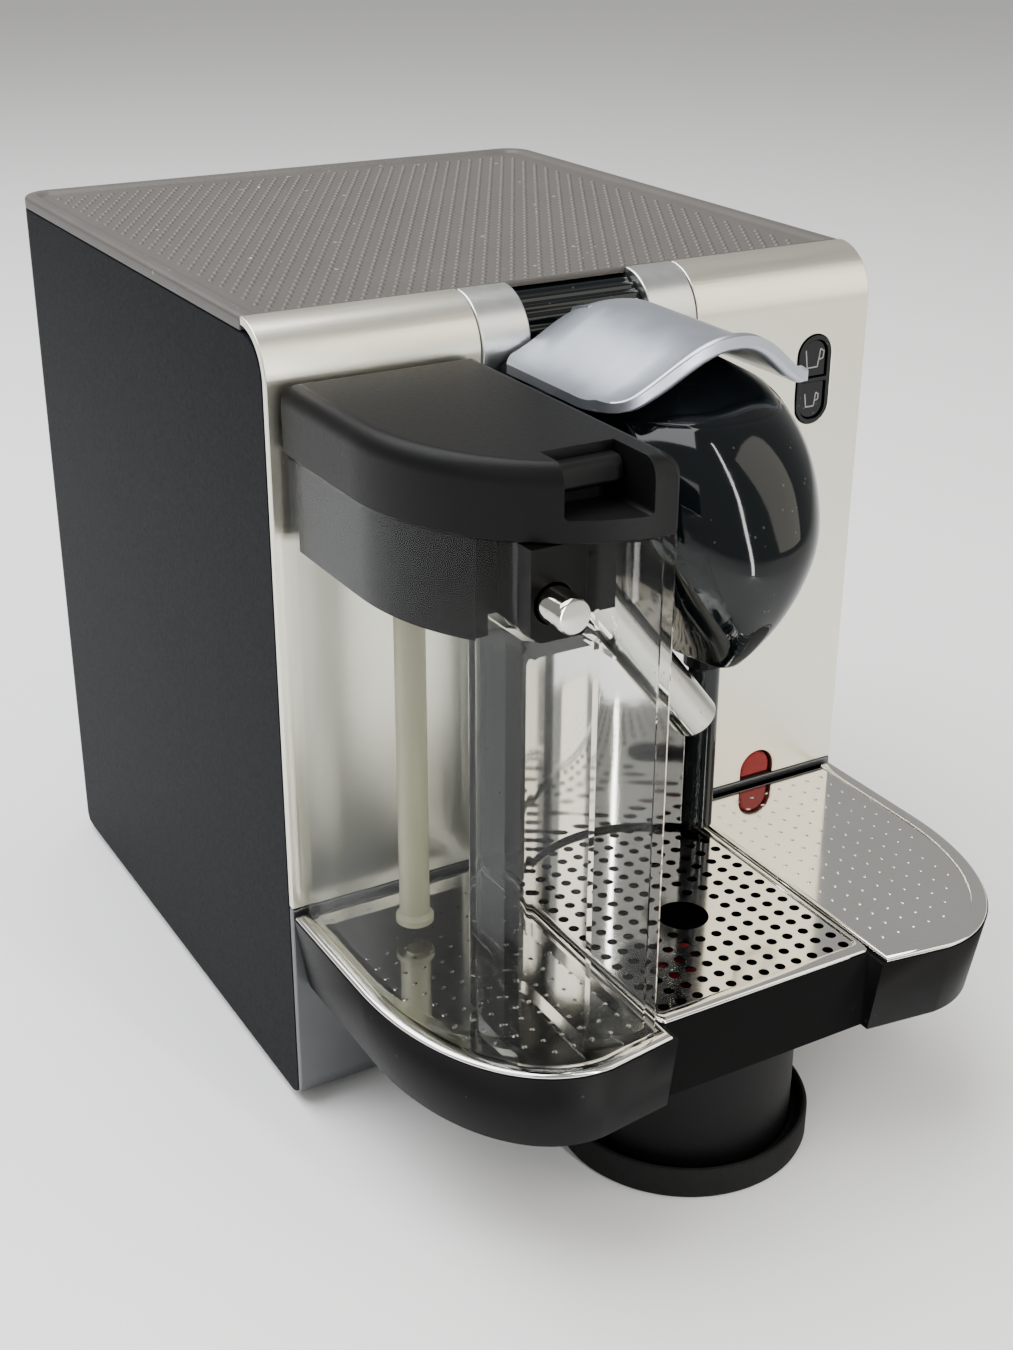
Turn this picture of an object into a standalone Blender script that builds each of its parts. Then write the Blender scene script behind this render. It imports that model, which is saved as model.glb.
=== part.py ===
"""Pod coffee machine with a docked milk jug.

Metres, +Z up, the front faces -Y.  Every place below is measured from the machine
frame: X = 0 on the middle plane, Y = 0 on the front fascia's face, Z = 0 on the
table.  One empty moves that frame so that the part's origin is the middle of the
footprint.  Each moving body hangs on its own empty, which sits on its joint's axis.
"""
import math

import bmesh
import bpy
from mathutils import Matrix, Vector

# ---------------------------------------------------------------- driving sizes
GAP = 0.0003                 # between two pieces that touch
SLIDE_GAP = 0.0006           # around a piece that slides

BODY_WIDTH = 0.2080
BODY_DEPTH = 0.2216
BODY_HEIGHT = 0.2556
BODY_BASE = 0.0030           # underside of the casing above the table
WALL = 0.0025                # casing panels
TOP_FRONT_RADIUS = 0.0160    # rolled top edge of the fascia
BACK_RADIUS = 0.0110         # vertical back corners
HEEL_RADIUS = 0.0160         # bottom back corner, seen from the side
TOE_RADIUS = 0.0080          # bottom front corner, seen from the side
COVER_THICKNESS = 0.0040
COVER_RECESS = 0.0010        # the cup shelf lies this far under the cover's border
COVER_BORDER = 0.0110

TRAY_REACH = 0.1120          # from the fascia to the tray's front
TRAY_TOP = 0.0738            # top of the steel plates
TRAY_HEIGHT = 0.0268
TRAY_WALL = 0.0025
TRAY_GAP = 0.0010            # between the tray and the fascia
TRAY_TAPER = 0.0040          # the side bays are smaller by this at the bottom
BAY_OVERLAP = 0.0020         # of neighbouring bays
PLATE = 0.0012               # steel plates of the tray
GRID_WIDTH = 0.0750
GRID_REACH = 0.1020          # front edge of the middle bay
TRAY_STRAIGHT = 0.0450       # length of the tray's straight side
SIDE_BAY_CREST = 0.0600      # where the side bays reach furthest forward
FLOAT_HOLE_RADIUS = 0.0080
FLOAT_Y = -0.0584
FLOAT_RADIUS = 0.0064
FASCIA_BOTTOM = 0.0755

PEDESTAL_Y = -0.0620
PEDESTAL_RADIUS = 0.0345
PEDESTAL_FOOT_RADIUS = 0.0400
PEDESTAL_FOOT_HEIGHT = 0.0105

HINGE_RADIUS = 0.0160
HINGE_DRUM_RADIUS = 0.0134
HINGE_PIN_RADIUS = 0.0030
HINGE_DRUM_HALF = 0.0206
HINGE_HALF = 0.0372          # to the outer end of the barrels
LEVER_HALF_WIDTH = 0.0340
LEVER_BACK = -0.0020
LEVER_CORNER_FRONT = -0.0630
LEVER_RIDGE_FRONT = -0.0700
LEVER_CROWN = 0.0160         # the ridge stands this far over the corners
LEVER_THICKNESS = 0.0030
LEVER_LIFT = 0.0012          # of the lever's corners over the hinge's axis
TONGUE_HALF = 0.0085         # half width of the web from the lever to the drum

HEAD_WALL = 0.0022
# depth under the hinge's axis, half width and reach of the brew head's level sections
HEAD_SECTIONS = (
    (0.0766, 0.0100, 0.0750),
    (0.0696, 0.0145, 0.0815),
    (0.0596, 0.0225, 0.0885),
    (0.0496, 0.0300, 0.0925),
    (0.0396, 0.0360, 0.0935),
    (0.0296, 0.0385, 0.0910),
    (0.0176, 0.0375, 0.0855),
    (0.0076, 0.0335, 0.0770),
    (0.0026, 0.0300, 0.0690),
    (-0.0019, 0.0200, 0.0600),
)
HEAD_CREASE = 0.0760         # how far forward the taper of the side walls is measured
HEAD_TAPER = 0.3200          # share of the half width that the side walls draw in
HEAD_ROUNDNESS = 0.8         # power that shapes the dome
POD_SLOT_HALF = 0.0200
POD_SLOT_FRONT = -0.0430
POD_SLOT_BACK = -0.0150
PISTON_DEPTH = 0.0326        # of the piston's axis under the hinge's
CHAMBER_DEPTH = 0.0436       # of the chamber's underside under the hinge's axis
CHAMBER_HEIGHT = 0.0340
CHAMBER_WALL = 0.0030
CHAMBER_BACK_WALL = 0.0045
WELL_INSET = 0.0010          # of the pod well inside the pod slot
HEAD_CLEARANCE = 0.0085      # between the cup bay frame and the head's chin
PISTON_RADIUS = 0.0140
PISTON_BACK = 0.0060
PISTON_ROD_RADIUS = 0.0060
PISTON_ROD_END = 0.0420
OUTLET_Y = -0.0620
OUTLET_RADIUS = 0.0058
OUTLET_WALL = 0.0018
OUTLET_SEAT = 0.0100         # of the outlet's collar over the head's chin
COLLAR = 0.0030              # thickness of a collar, and how far the outlet hangs out

LEG_HALF = 0.0395            # outer half width of the cup bay frame
LEG_WIDTH = 0.0085
LEG_REACH = 0.0210
BAY_PLATE_DROP = 0.0095      # lets the plate pass under the spout as the tray is drawn out
BIN_DEPTH = 0.0620
BIN_DROP = 0.0187            # of the bin's rim under the top of the legs, less the tray's
BIN_WALL = 0.0020

JUG_RIGHT = -0.0412
JUG_LEFT = -0.1012
JUG_BACK = -0.0030
JUG_REACH = 0.1070
JUG_STRAIGHT = 0.0450
JUG_WALL = 0.0022
JUG_TOP_DEPTH = 0.0183       # of the jug's rim under the hinge's axis
JUG_CORNER = 0.0050
GROOVE_LEFT = -0.0790
GROOVE_RIGHT = -0.0640
GROOVE_DEPTH = 0.0390
LID_THICKNESS = 0.0202
LID_EDGE = 0.0060
RECESS_LEFT = -0.0710
RECESS_RIGHT = -0.0500
RECESS_DEPTH = 0.0190
RECESS_RISE = 0.0062         # of the recess floor over the jug's rim
HOUSING_DEPTH = 0.0278       # this and the next four are under the jug's rim
BUTTON_BLOCK_DROP = 0.0248
BUTTON_BLOCK_DEPTH = 0.0210
BUTTON_BLOCK_FRONT = 0.0085      # behind the jug's foremost point
CLEAN_BUTTON_X = -0.0730
CLEAN_BUTTON_DROP = 0.0148
CLEAN_BUTTON_RADIUS = 0.0049
TUBE_X = -0.0760
TUBE_Y = -0.0270
TUBE_RADIUS = 0.0045
TUBE_BORE = 0.0030
SPOUT_Y = -0.0735
SPOUT_RADIUS = 0.0067
SPOUT_BORE = 0.0054
SPOUT_SLOT_DROP = 0.0433     # lower end of the jug's notch for the spout
SPOUT_ROOT = (-0.0580, 0.0103)   # X and drop of the upper end of the spout's axis
SPOUT_TIP = (-0.0105, 0.0713)    # X and drop of the outlet
LATCH_REACH = 0.0060
LATCH_HEIGHT = 0.0090
LATCH_LIFT = 0.0025          # of the latch bar over the recess floor

PILL_X = 0.0837
PILL_BOTTOM_DEPTH = 0.0382   # under the hinge's axis
PILL_TOP_DEPTH = 0.0095
PILL_WIDTH = 0.0128
ROUND_BUTTON_X = 0.0770
ROUND_BUTTON_DEPTH = 0.0866  # under the hinge's axis
ROUND_BUTTON_RADIUS = 0.0090
POWER_X = 0.0716
POWER_WIDTH = 0.0124
POWER_TOP = 0.0849

TANK_HALF_WIDTH = 0.0700
TANK_FRONT = 0.1260
TANK_BOTTOM = 0.0250
TANK_ROOM = 0.0226           # between the tank and the top of the casing
GRIP_HALF = 0.0300
GRIP_DEPTH = 0.0160
GRIP_HEIGHT = 0.0220
GRIP_DROP = 0.0210           # of the finger recess under the tank's rim
TANK_WALL = 0.0024
TANK_PORT_Z = 0.0420
TANK_PORT_RADIUS = 0.0060
TANK_LID = 0.0040
CHASSIS_FLOOR = 0.0030
PUMP_AXIS = (-0.0600, 0.0380)    # X and Z
PUMP_RADIUS = 0.0090
PUMP_FRONT = 0.0300
PUMP_BACK = 0.1080
COIL_HALF = 0.0180
COIL_INSET = 0.0150
CRADLE_HALF = 0.0140
CRADLE_THICKNESS = 0.0060
CRADLE_TOP = 0.0440
HEATER_LOW = (0.0440, 0.0300, 0.0300)
HEATER_HIGH = (0.0940, 0.0900, 0.0700)
STUB_PLACES = (0.0580, 0.0800)
STUB_RADIUS = 0.0040
STUB_HEIGHT = 0.0100
BOARD_LOW = (-0.0985, 0.0200, 0.1200)
BOARD_BACK = 0.1080
BOARD_THICKNESS = 0.0016
BOARD_DROP = 0.0130          # of the board's top under the tank's
GLAND_X = 0.0810
GLAND_Z = 0.0330
GLAND_RADIUS = 0.0060
STEAM_RADIUS = 0.0050
STEAM_X = -0.0720
STEAM_DEPTH = 0.0316         # under the hinge's axis

ARC_STEPS = 5                # segments in a rounded corner
ROUND_SIDES = 20             # sides of a round piece

FRONT_Y = (TRAY_REACH - BODY_DEPTH) / 2
HALF_WIDTH = BODY_WIDTH / 2
JUG_BOTTOM = TRAY_TOP + GAP
HINGE_Y = TOP_FRONT_RADIUS
HINGE_Z = BODY_HEIGHT - HINGE_RADIUS
LEVER_CORNER_TOP = HINGE_Z + LEVER_LIFT
LEVER_RIDGE_TOP = LEVER_CORNER_TOP + LEVER_CROWN
HEAD_BOTTOM = HINGE_Z - HEAD_SECTIONS[0][0]
PISTON_Z = HINGE_Z - PISTON_DEPTH
CHAMBER_BOTTOM = HINGE_Z - CHAMBER_DEPTH
LEG_TOP = HEAD_BOTTOM - HEAD_CLEARANCE
BAY_PLATE_TOP = LEG_TOP - BAY_PLATE_DROP
BIN_HEIGHT = LEG_TOP - TRAY_TOP - BIN_DROP
STEAM_Z = HINGE_Z - STEAM_DEPTH
PILL_BOTTOM = HINGE_Z - PILL_BOTTOM_DEPTH
PILL_TOP = HINGE_Z - PILL_TOP_DEPTH
ROUND_BUTTON_Z = HINGE_Z - ROUND_BUTTON_DEPTH
JUG_TOP = HINGE_Z - JUG_TOP_DEPTH
HOUSING_BOTTOM = JUG_TOP - HOUSING_DEPTH
BUTTON_BLOCK_BOTTOM = JUG_TOP - BUTTON_BLOCK_DROP
CLEAN_BUTTON_Z = JUG_TOP - CLEAN_BUTTON_DROP
SPOUT_SLOT_BOTTOM = JUG_TOP - SPOUT_SLOT_DROP
RECESS_FLOOR = JUG_TOP + RECESS_RISE
LATCH_BOTTOM = RECESS_FLOOR + LATCH_LIFT
TANK_TOP = BODY_HEIGHT - TANK_ROOM
GROOVE_BACK = -JUG_REACH + GROOVE_DEPTH
RECESS_BACK = -JUG_REACH + RECESS_DEPTH
BUTTON_BLOCK_BACK = -JUG_REACH + BUTTON_BLOCK_DEPTH
COVER_BOTTOM = BODY_HEIGHT - COVER_THICKNESS
TRAY_BOTTOM = TRAY_TOP - TRAY_HEIGHT
TRAY_RIM = TRAY_TOP - PLATE - GAP        # top of the black wall, under the plates
TONGUE_TOP = TRAY_RIM
TONGUE_BOTTOM = TONGUE_TOP - TRAY_WALL
BIN_HALF = LEG_HALF - LEG_WIDTH - SLIDE_GAP
FAR = 1.0                    # reach of a cutter that runs right through

# ---------------------------------------------------------------- finishes
FINISHES = {
    "satin_steel": ((0.62, 0.61, 0.57, 1.0), 0.28, 1.0),
    "mirror_steel": ((0.72, 0.71, 0.67, 1.0), 0.08, 1.0),
    "satin_silver": ((0.50, 0.53, 0.57, 1.0), 0.35, 0.9),
    "blue_black": ((0.008, 0.011, 0.015, 1.0), 0.55, 0.0),
    "warm_grey": ((0.060, 0.052, 0.048, 1.0), 0.50, 0.0),
    "satin_black": ((0.012, 0.012, 0.013, 1.0), 0.40, 0.0),
    "gloss_black": ((0.006, 0.007, 0.008, 1.0), 0.06, 0.0),
    "chrome": ((0.80, 0.80, 0.80, 1.0), 0.04, 1.0),
    "clear": ((0.90, 0.93, 0.94, 1.0), 0.04, 0.0),
    "milky": ((0.80, 0.80, 0.74, 1.0), 0.40, 0.0),
    "red": ((0.60, 0.01, 0.02, 1.0), 0.15, 0.0),
    "rubber": ((0.015, 0.015, 0.015, 1.0), 0.85, 0.0),
    "grey_plastic": ((0.18, 0.18, 0.18, 1.0), 0.60, 0.0),
    "cast_alloy": ((0.55, 0.55, 0.55, 1.0), 0.45, 1.0),
    "board_green": ((0.02, 0.12, 0.05, 1.0), 0.50, 0.0),
}


def clear_scene():
    """Start from an empty file."""
    for item in list(bpy.data.objects):
        bpy.data.objects.remove(item, do_unlink=True)


def finish_material(name, finish):
    """A material of the piece's own, in one of the finishes."""
    colour, roughness, metallic = FINISHES[finish]
    material = bpy.data.materials.new(name)
    material.use_nodes = True
    shader = material.node_tree.nodes["Principled BSDF"]
    shader.inputs["Base Color"].default_value = colour
    shader.inputs["Roughness"].default_value = roughness
    shader.inputs["Metallic"].default_value = metallic
    return material


# ---------------------------------------------------------------- solids
def prism(outline, low, high, axis="Z", end=None):
    """A closed outline pushed along an axis, to another outline if one is given.

    X takes (y, z), Y takes (x, z).
    """
    def point(pair, level):
        if axis == "X":
            return (level, pair[0], pair[1])
        if axis == "Y":
            return (pair[0], level, pair[1])
        return (pair[0], pair[1], level)

    solid = bmesh.new()
    near = [solid.verts.new(point(pair, low)) for pair in outline]
    far = [solid.verts.new(point(pair, high)) for pair in end or outline]
    count = len(outline)
    solid.faces.new(near)
    solid.faces.new(list(reversed(far)))
    for i in range(count):
        j = (i + 1) % count
        solid.faces.new((near[j], near[i], far[i], far[j]))
    bmesh.ops.recalc_face_normals(solid, faces=solid.faces)
    return solid


def block(low, high):
    """A box between two corners."""
    outline = [(low[0], low[1]), (high[0], low[1]), (high[0], high[1]), (low[0], high[1])]
    return prism(outline, low[2], high[2])


def circle(centre, radius, sides=ROUND_SIDES):
    """Points round a circle."""
    return [(centre[0] + radius * math.cos(2 * math.pi * i / sides),
             centre[1] + radius * math.sin(2 * math.pi * i / sides)) for i in range(sides)]


def rod(axis, centre, radius, low, high, sides=ROUND_SIDES):
    """A round bar along an axis; centre is given in the plane across it."""
    return prism(circle(centre, radius, sides), low, high, axis)


def rounded(points, radii, steps=ARC_STEPS):
    """An outline whose corners are turned to arcs of the given radii."""
    outline = []
    count = len(points)
    for i, (corner, radius) in enumerate(zip(points, radii)):
        here = Vector(corner)
        if radius <= 0:
            outline.append(tuple(here))
            continue
        before = (Vector(points[i - 1]) - here).normalized()
        after = (Vector(points[(i + 1) % count]) - here).normalized()
        half = before.angle(after) / 2
        centre = here + (before + after).normalized() * (radius / math.sin(half))
        start = here + before * (radius / math.tan(half)) - centre
        end = here + after * (radius / math.tan(half)) - centre
        sweep = start.angle_signed(end)
        for step in range(steps + 1):
            turn = Matrix.Rotation(-sweep * step / steps, 2)
            outline.append(tuple(centre + turn @ start))
    return outline


def combine(solid, tool, operation):
    """Boolean of two solids; both are used up and the result is returned."""
    made = []
    for part in (solid, tool):
        mesh = bpy.data.meshes.new("working")
        part.to_mesh(mesh)
        part.free()
        item = bpy.data.objects.new("working", mesh)
        bpy.context.scene.collection.objects.link(item)
        made.append(item)
    modifier = made[0].modifiers.new("combine", "BOOLEAN")
    modifier.operation = operation
    modifier.solver = "EXACT"
    modifier.object = made[1]
    graph = bpy.context.evaluated_depsgraph_get()
    result = bmesh.new()
    result.from_object(made[0], graph)
    for item in made:
        mesh = item.data
        bpy.data.objects.remove(item, do_unlink=True)
        bpy.data.meshes.remove(mesh)
    return result


def cut(solid, *tools):
    for tool in tools:
        solid = combine(solid, tool, "DIFFERENCE")
    return solid


def join(solid, *others):
    for other in others:
        solid = combine(solid, other, "UNION")
    return solid


def common(solid, other):
    return combine(solid, other, "INTERSECT")


# ---------------------------------------------------------------- bodies and nodes
def add_empty(name, place, parent=None):
    empty = bpy.data.objects.new(name, None)
    empty.location = place
    empty.parent = parent
    bpy.context.scene.collection.objects.link(empty)
    return empty


def body(name, place=(0.0, 0.0, 0.0), parent=None):
    """An empty on a moving body's axis; place is in the machine frame."""
    above = parent if parent is not None else MACHINE
    empty = add_empty(name, Vector(place) - Vector(ORIGINS[above.name]), above)
    ORIGINS[name] = tuple(place)
    return empty


def node(name, solid, finish, parent=None):
    """One named object from a solid that is given in the machine frame."""
    above = parent if parent is not None else MACHINE
    bmesh.ops.translate(solid, verts=solid.verts, vec=-Vector(ORIGINS[above.name]))
    bmesh.ops.remove_doubles(solid, verts=solid.verts, dist=0.000001)
    mesh = bpy.data.meshes.new(name)
    solid.to_mesh(mesh)
    solid.free()
    mesh.shade_smooth()
    mesh.set_sharp_from_angle(angle=math.radians(35))
    item = bpy.data.objects.new(name, mesh)
    item.parent = above
    item.data.materials.append(finish_material(name, finish))
    bpy.context.scene.collection.objects.link(item)
    return item


# ---------------------------------------------------------------- casing
def side_profile(inset=0.0):
    """Outline of the casing seen from the side, as (y, z)."""
    front, back = inset, BODY_DEPTH - inset
    low, high = BODY_BASE + inset, BODY_HEIGHT - inset
    points = [(front, low), (back, low), (back, high), (front, high)]
    radii = [TOE_RADIUS - inset / 2, HEEL_RADIUS - inset, 0.0, TOP_FRONT_RADIUS - inset]
    return rounded(points, radii)


def plan_profile(inset=0.0):
    """Outline of the casing seen from above, as (x, y)."""
    half = HALF_WIDTH - inset
    front, back = inset, BODY_DEPTH - inset
    radius = BACK_RADIUS - inset
    points = [(-half, front), (half, front), (half, back), (-half, back)]
    return rounded(points, [0.0, 0.0, radius, radius])


def envelope(inset=0.0):
    """The casing as one solid, rounded in side view and in plan."""
    return common(prism(side_profile(inset), -HALF_WIDTH, HALF_WIDTH, "X"),
                  prism(plan_profile(inset), -FAR, FAR))


def casing_shell():
    return cut(envelope(), envelope(WALL))


def side_panel(side):
    """One side with its rounded back corner and a return under the casing."""
    inner = HALF_WIDTH - WALL - BACK_RADIUS
    front, top = WALL + GAP, COVER_BOTTOM - GAP
    points = [(front, BODY_BASE), (BODY_DEPTH, BODY_BASE), (BODY_DEPTH, top), (front, top)]
    radii = [TOE_RADIUS - WALL, HEEL_RADIUS, 0.0, TOP_FRONT_RADIUS - WALL - COVER_THICKNESS / 2]
    low, high = sorted((side * inner, side * FAR))
    region = prism(rounded(points, radii), low, high, "X")
    nook = sorted((side * (inner - FAR), side * (HALF_WIDTH - WALL)))
    return cut(common(casing_shell(), region),
               block((nook[0], -FAR, -FAR), (nook[1], TOE_RADIUS + GAP, FAR)))


def rear_panel():
    """Back wall between the side panels, open for the tank, with vent slots."""
    edge = HALF_WIDTH - WALL - BACK_RADIUS - GAP
    base = BODY_BASE + HEEL_RADIUS + GAP
    panel = block((-edge, BODY_DEPTH - WALL, base), (edge, BODY_DEPTH, COVER_BOTTOM - GAP))
    panel = cut(panel, block((-TANK_HALF_WIDTH - SLIDE_GAP, -FAR, TANK_BOTTOM - SLIDE_GAP),
                             (TANK_HALF_WIDTH + SLIDE_GAP, FAR, TANK_TOP + TANK_LID + SLIDE_GAP)))
    return cut(panel, rod("Y", (GLAND_X, GLAND_Z), GLAND_RADIUS + GAP, -FAR, FAR, 12))


def heel_panel():
    """Bottom back strip that carries the rounded heel between the side panels."""
    edge = HALF_WIDTH - WALL - BACK_RADIUS - GAP
    region = block((-edge, BODY_DEPTH - HEEL_RADIUS, -FAR), (edge, FAR, BODY_BASE + HEEL_RADIUS))
    return common(casing_shell(), region)


def top_cover():
    """Flat cover with a sunk cup shelf, notched over the hinge drum."""
    solid = common(envelope(), block((-FAR, TOP_FRONT_RADIUS + GAP, COVER_BOTTOM), (FAR, FAR, FAR)))
    half = HALF_WIDTH - COVER_BORDER
    shelf = rounded([(-half, TOP_FRONT_RADIUS + 0.0045), (half, TOP_FRONT_RADIUS + 0.0045),
                     (half, BODY_DEPTH - COVER_BORDER), (-half, BODY_DEPTH - COVER_BORDER)],
                    [0.002, 0.002, 0.005, 0.005], 3)
    solid = cut(solid, prism(shelf, BODY_HEIGHT - COVER_RECESS, FAR))
    reach = HINGE_Y + HINGE_RADIUS + SLIDE_GAP
    return cut(solid, block((-HINGE_HALF - GAP, 0.0, -FAR),
                            (HINGE_HALF + GAP, reach, HINGE_Z + HINGE_DRUM_RADIUS + SLIDE_GAP)))


def front_fascia():
    """Steel front, rolled back over the top, with all its openings."""
    outer = rounded([(0.0, FASCIA_BOTTOM), (0.0, BODY_HEIGHT), (TOP_FRONT_RADIUS, BODY_HEIGHT)],
                    [0.0, TOP_FRONT_RADIUS, 0.0], 8)[:-1]
    inner = rounded([(TOP_FRONT_RADIUS, BODY_HEIGHT - WALL), (WALL, BODY_HEIGHT - WALL),
                     (WALL, FASCIA_BOTTOM)], [0.0, TOP_FRONT_RADIUS - WALL, 0.0], 8)[1:]
    outer.append((TOP_FRONT_RADIUS, BODY_HEIGHT))
    inner.insert(0, (TOP_FRONT_RADIUS, BODY_HEIGHT - WALL))
    solid = prism(outer + inner, -HALF_WIDTH, HALF_WIDTH, "X")
    hinge = HINGE_HALF + GAP
    solid = cut(solid, block((-hinge, -FAR, HINGE_Z - HINGE_RADIUS - GAP), (hinge, FAR, FAR)))
    bay = LEG_HALF - LEG_WIDTH
    solid = cut(solid, block((-bay, -FAR, -FAR), (bay, FAR, LEG_TOP - WALL)))
    solid = cut(solid, block((-POD_SLOT_HALF, -FAR, LEG_TOP + 0.010),
                             (POD_SLOT_HALF, FAR, HINGE_Z - HINGE_RADIUS + WALL)))
    solid = cut(solid, prism(pill(PILL_X, PILL_BOTTOM, PILL_TOP, PILL_WIDTH / 2 + GAP, GAP),
                             -FAR, FAR, "Y"))
    solid = cut(solid, rod("Y", (ROUND_BUTTON_X, ROUND_BUTTON_Z),
                           ROUND_BUTTON_RADIUS + SLIDE_GAP, -FAR, FAR))
    solid = cut(solid, prism(arch(POWER_X, POWER_WIDTH / 2 + SLIDE_GAP, FASCIA_BOTTOM - WALL,
                                  POWER_TOP + SLIDE_GAP), -FAR, FAR, "Y"))
    return cut(solid, rod("Y", (STEAM_X, STEAM_Z), STEAM_RADIUS + GAP, -FAR, FAR, 12))


def pill(x, bottom, top, radius, grow=0.0, steps=6):
    """A slot with round ends, as (x, z)."""
    outline = []
    for i in range(steps + 1):
        angle = math.pi * i / steps
        outline.append((x + radius * math.cos(angle),
                        top + grow - radius + radius * math.sin(angle)))
    for i in range(steps + 1):
        angle = math.pi + math.pi * i / steps
        outline.append((x + radius * math.cos(angle),
                        bottom - grow + radius + radius * math.sin(angle)))
    return outline


def arch(x, radius, bottom, top, steps=8):
    """A flat-bottomed shape with a round top, as (x, z)."""
    outline = [(x - radius, bottom), (x + radius, bottom)]
    for i in range(steps + 1):
        angle = math.pi * i / steps
        outline.append((x + radius * math.cos(angle), top - radius + radius * math.sin(angle)))
    return outline


def lower_front_panel():
    """Front wall under the tray, with the slot that the bin's tongue enters."""
    region = block((-FAR, -FAR, -FAR), (FAR, WALL, FASCIA_BOTTOM - GAP))
    solid = common(casing_shell(), region)
    half = BIN_HALF + BAY_OVERLAP
    return cut(solid, block((-half, -FAR, TONGUE_BOTTOM - SLIDE_GAP), (half, FAR, FAR)))


# ---------------------------------------------------------------- brew head and hinge
def level_section(half, reach, grow, back, steps=9):
    """Plan section of the head, as (x, y), from right to left: straight walls, then a dome."""
    half, reach = half + grow, reach + grow
    nose = []
    for i in range(2 * steps + 1):
        angle = math.pi * i / (2 * steps)
        across, along = math.cos(angle), math.sin(angle)
        depth = reach * abs(along) ** HEAD_ROUNDNESS
        width = half * min(1 - HEAD_TAPER * depth / HEAD_CREASE, abs(across) ** HEAD_ROUNDNESS)
        nose.append((math.copysign(width, across), -GAP - depth * (reach - GAP) / reach))
    return [(half, back)] + nose + [(-half, back)] if back > 0 else nose


def head_loft(grow, back):
    """Drop-shaped solid through the head's level sections, grown or shrunk."""
    solid = bmesh.new()
    rings = []
    for i, (depth, half, reach) in enumerate(HEAD_SECTIONS):
        level = HINGE_Z - depth
        if i == 0:
            level -= grow
        if i == len(HEAD_SECTIONS) - 1:
            level += grow
        section = level_section(half, reach, grow, back)
        rings.append([solid.verts.new((x, y, level)) for x, y in section])
    count = len(rings[0])
    for low, high in zip(rings, rings[1:]):
        for i in range(count):
            j = (i + 1) % count
            solid.faces.new((low[i], low[j], high[j], high[i]))
    solid.faces.new(list(reversed(rings[0])))
    solid.faces.new(rings[-1])
    bmesh.ops.recalc_face_normals(solid, faces=solid.faces)
    return solid


def brew_head_shell():
    """Hollow drop, open at the back, with the pod slot on top and the outlet hole."""
    solid = cut(head_loft(0.0, 0.0), head_loft(-HEAD_WALL, 0.010))
    slot = block((-POD_SLOT_HALF, POD_SLOT_FRONT, PISTON_Z), (POD_SLOT_HALF, POD_SLOT_BACK, FAR))
    return cut(solid, slot, rod("Z", (0.0, OUTLET_Y), OUTLET_RADIUS + GAP, 0.0, PISTON_Z, 16))


def brew_chamber():
    """Block behind the slot that holds the pod while it is brewed, open below to the bin."""
    outer = POD_SLOT_HALF + CHAMBER_WALL
    solid = block((-outer, POD_SLOT_FRONT - CHAMBER_WALL, CHAMBER_BOTTOM),
                  (outer, POD_SLOT_BACK + CHAMBER_BACK_WALL, CHAMBER_BOTTOM + CHAMBER_HEIGHT))
    inner = POD_SLOT_HALF - WELL_INSET
    well = block((-inner, POD_SLOT_FRONT + WELL_INSET, -FAR), (inner, POD_SLOT_BACK, FAR))
    solid = cut(solid, well)
    return cut(solid, rod("Y", (0.0, PISTON_Z), PISTON_RADIUS + SLIDE_GAP, POD_SLOT_BACK - 0.001,
                          FAR, 16))


def coffee_outlet():
    """Spout with a funnel collar, carried in the chin of the head."""
    seat, centre = HEAD_BOTTOM + OUTLET_SEAT, (0.0, OUTLET_Y)
    collar = rod("Z", centre, OUTLET_RADIUS + OUTLET_WALL, seat, seat + COLLAR, 16)
    solid = join(rod("Z", centre, OUTLET_RADIUS, HEAD_BOTTOM - COLLAR, seat + COLLAR / 2, 16),
                 collar)
    return cut(solid, rod("Z", centre, OUTLET_RADIUS - OUTLET_WALL, 0.0, FAR, 16))


def hinge_barrel(side):
    """Fixed outer barrel of the lever's hinge, bored for the pin."""
    low, high = sorted((side * (HINGE_DRUM_HALF + GAP), side * HINGE_HALF))
    solid = rod("X", (HINGE_Y, HINGE_Z), HINGE_RADIUS, low, high, 32)
    solid = cut(solid, block((-FAR, TOP_FRONT_RADIUS, HINGE_Z + HINGE_DRUM_RADIUS), (FAR, FAR, FAR)))
    return cut(solid, rod("X", (HINGE_Y, HINGE_Z), HINGE_PIN_RADIUS + 0.0001, -FAR, FAR, 16))


def hinge_drum():
    """Fluted drum that turns with the lever."""
    solid = rod("X", (HINGE_Y, HINGE_Z), HINGE_DRUM_RADIUS, -HINGE_DRUM_HALF + GAP,
                HINGE_DRUM_HALF - GAP, 32)
    return cut(solid, rod("X", (HINGE_Y, HINGE_Z), HINGE_PIN_RADIUS + 0.0001, -FAR, FAR, 16))


def lever_point(along, across):
    """Top of the lever; along runs 0 to 1 forward, across runs -1 to 1."""
    crown = 0.5 + 0.5 * math.cos(math.pi * min(abs(across), 1.0) ** 1.15)
    front = LEVER_CORNER_FRONT + (LEVER_RIDGE_FRONT - LEVER_CORNER_FRONT) * crown
    back = LEVER_BACK
    droop = 0.0040 * max(0.0, 1 - along * 4) ** 2
    height = LEVER_CORNER_TOP + (LEVER_RIDGE_TOP - LEVER_CORNER_TOP - droop) * crown
    return Vector((LEVER_HALF_WIDTH * across, back + (front - back) * along, height))


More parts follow.
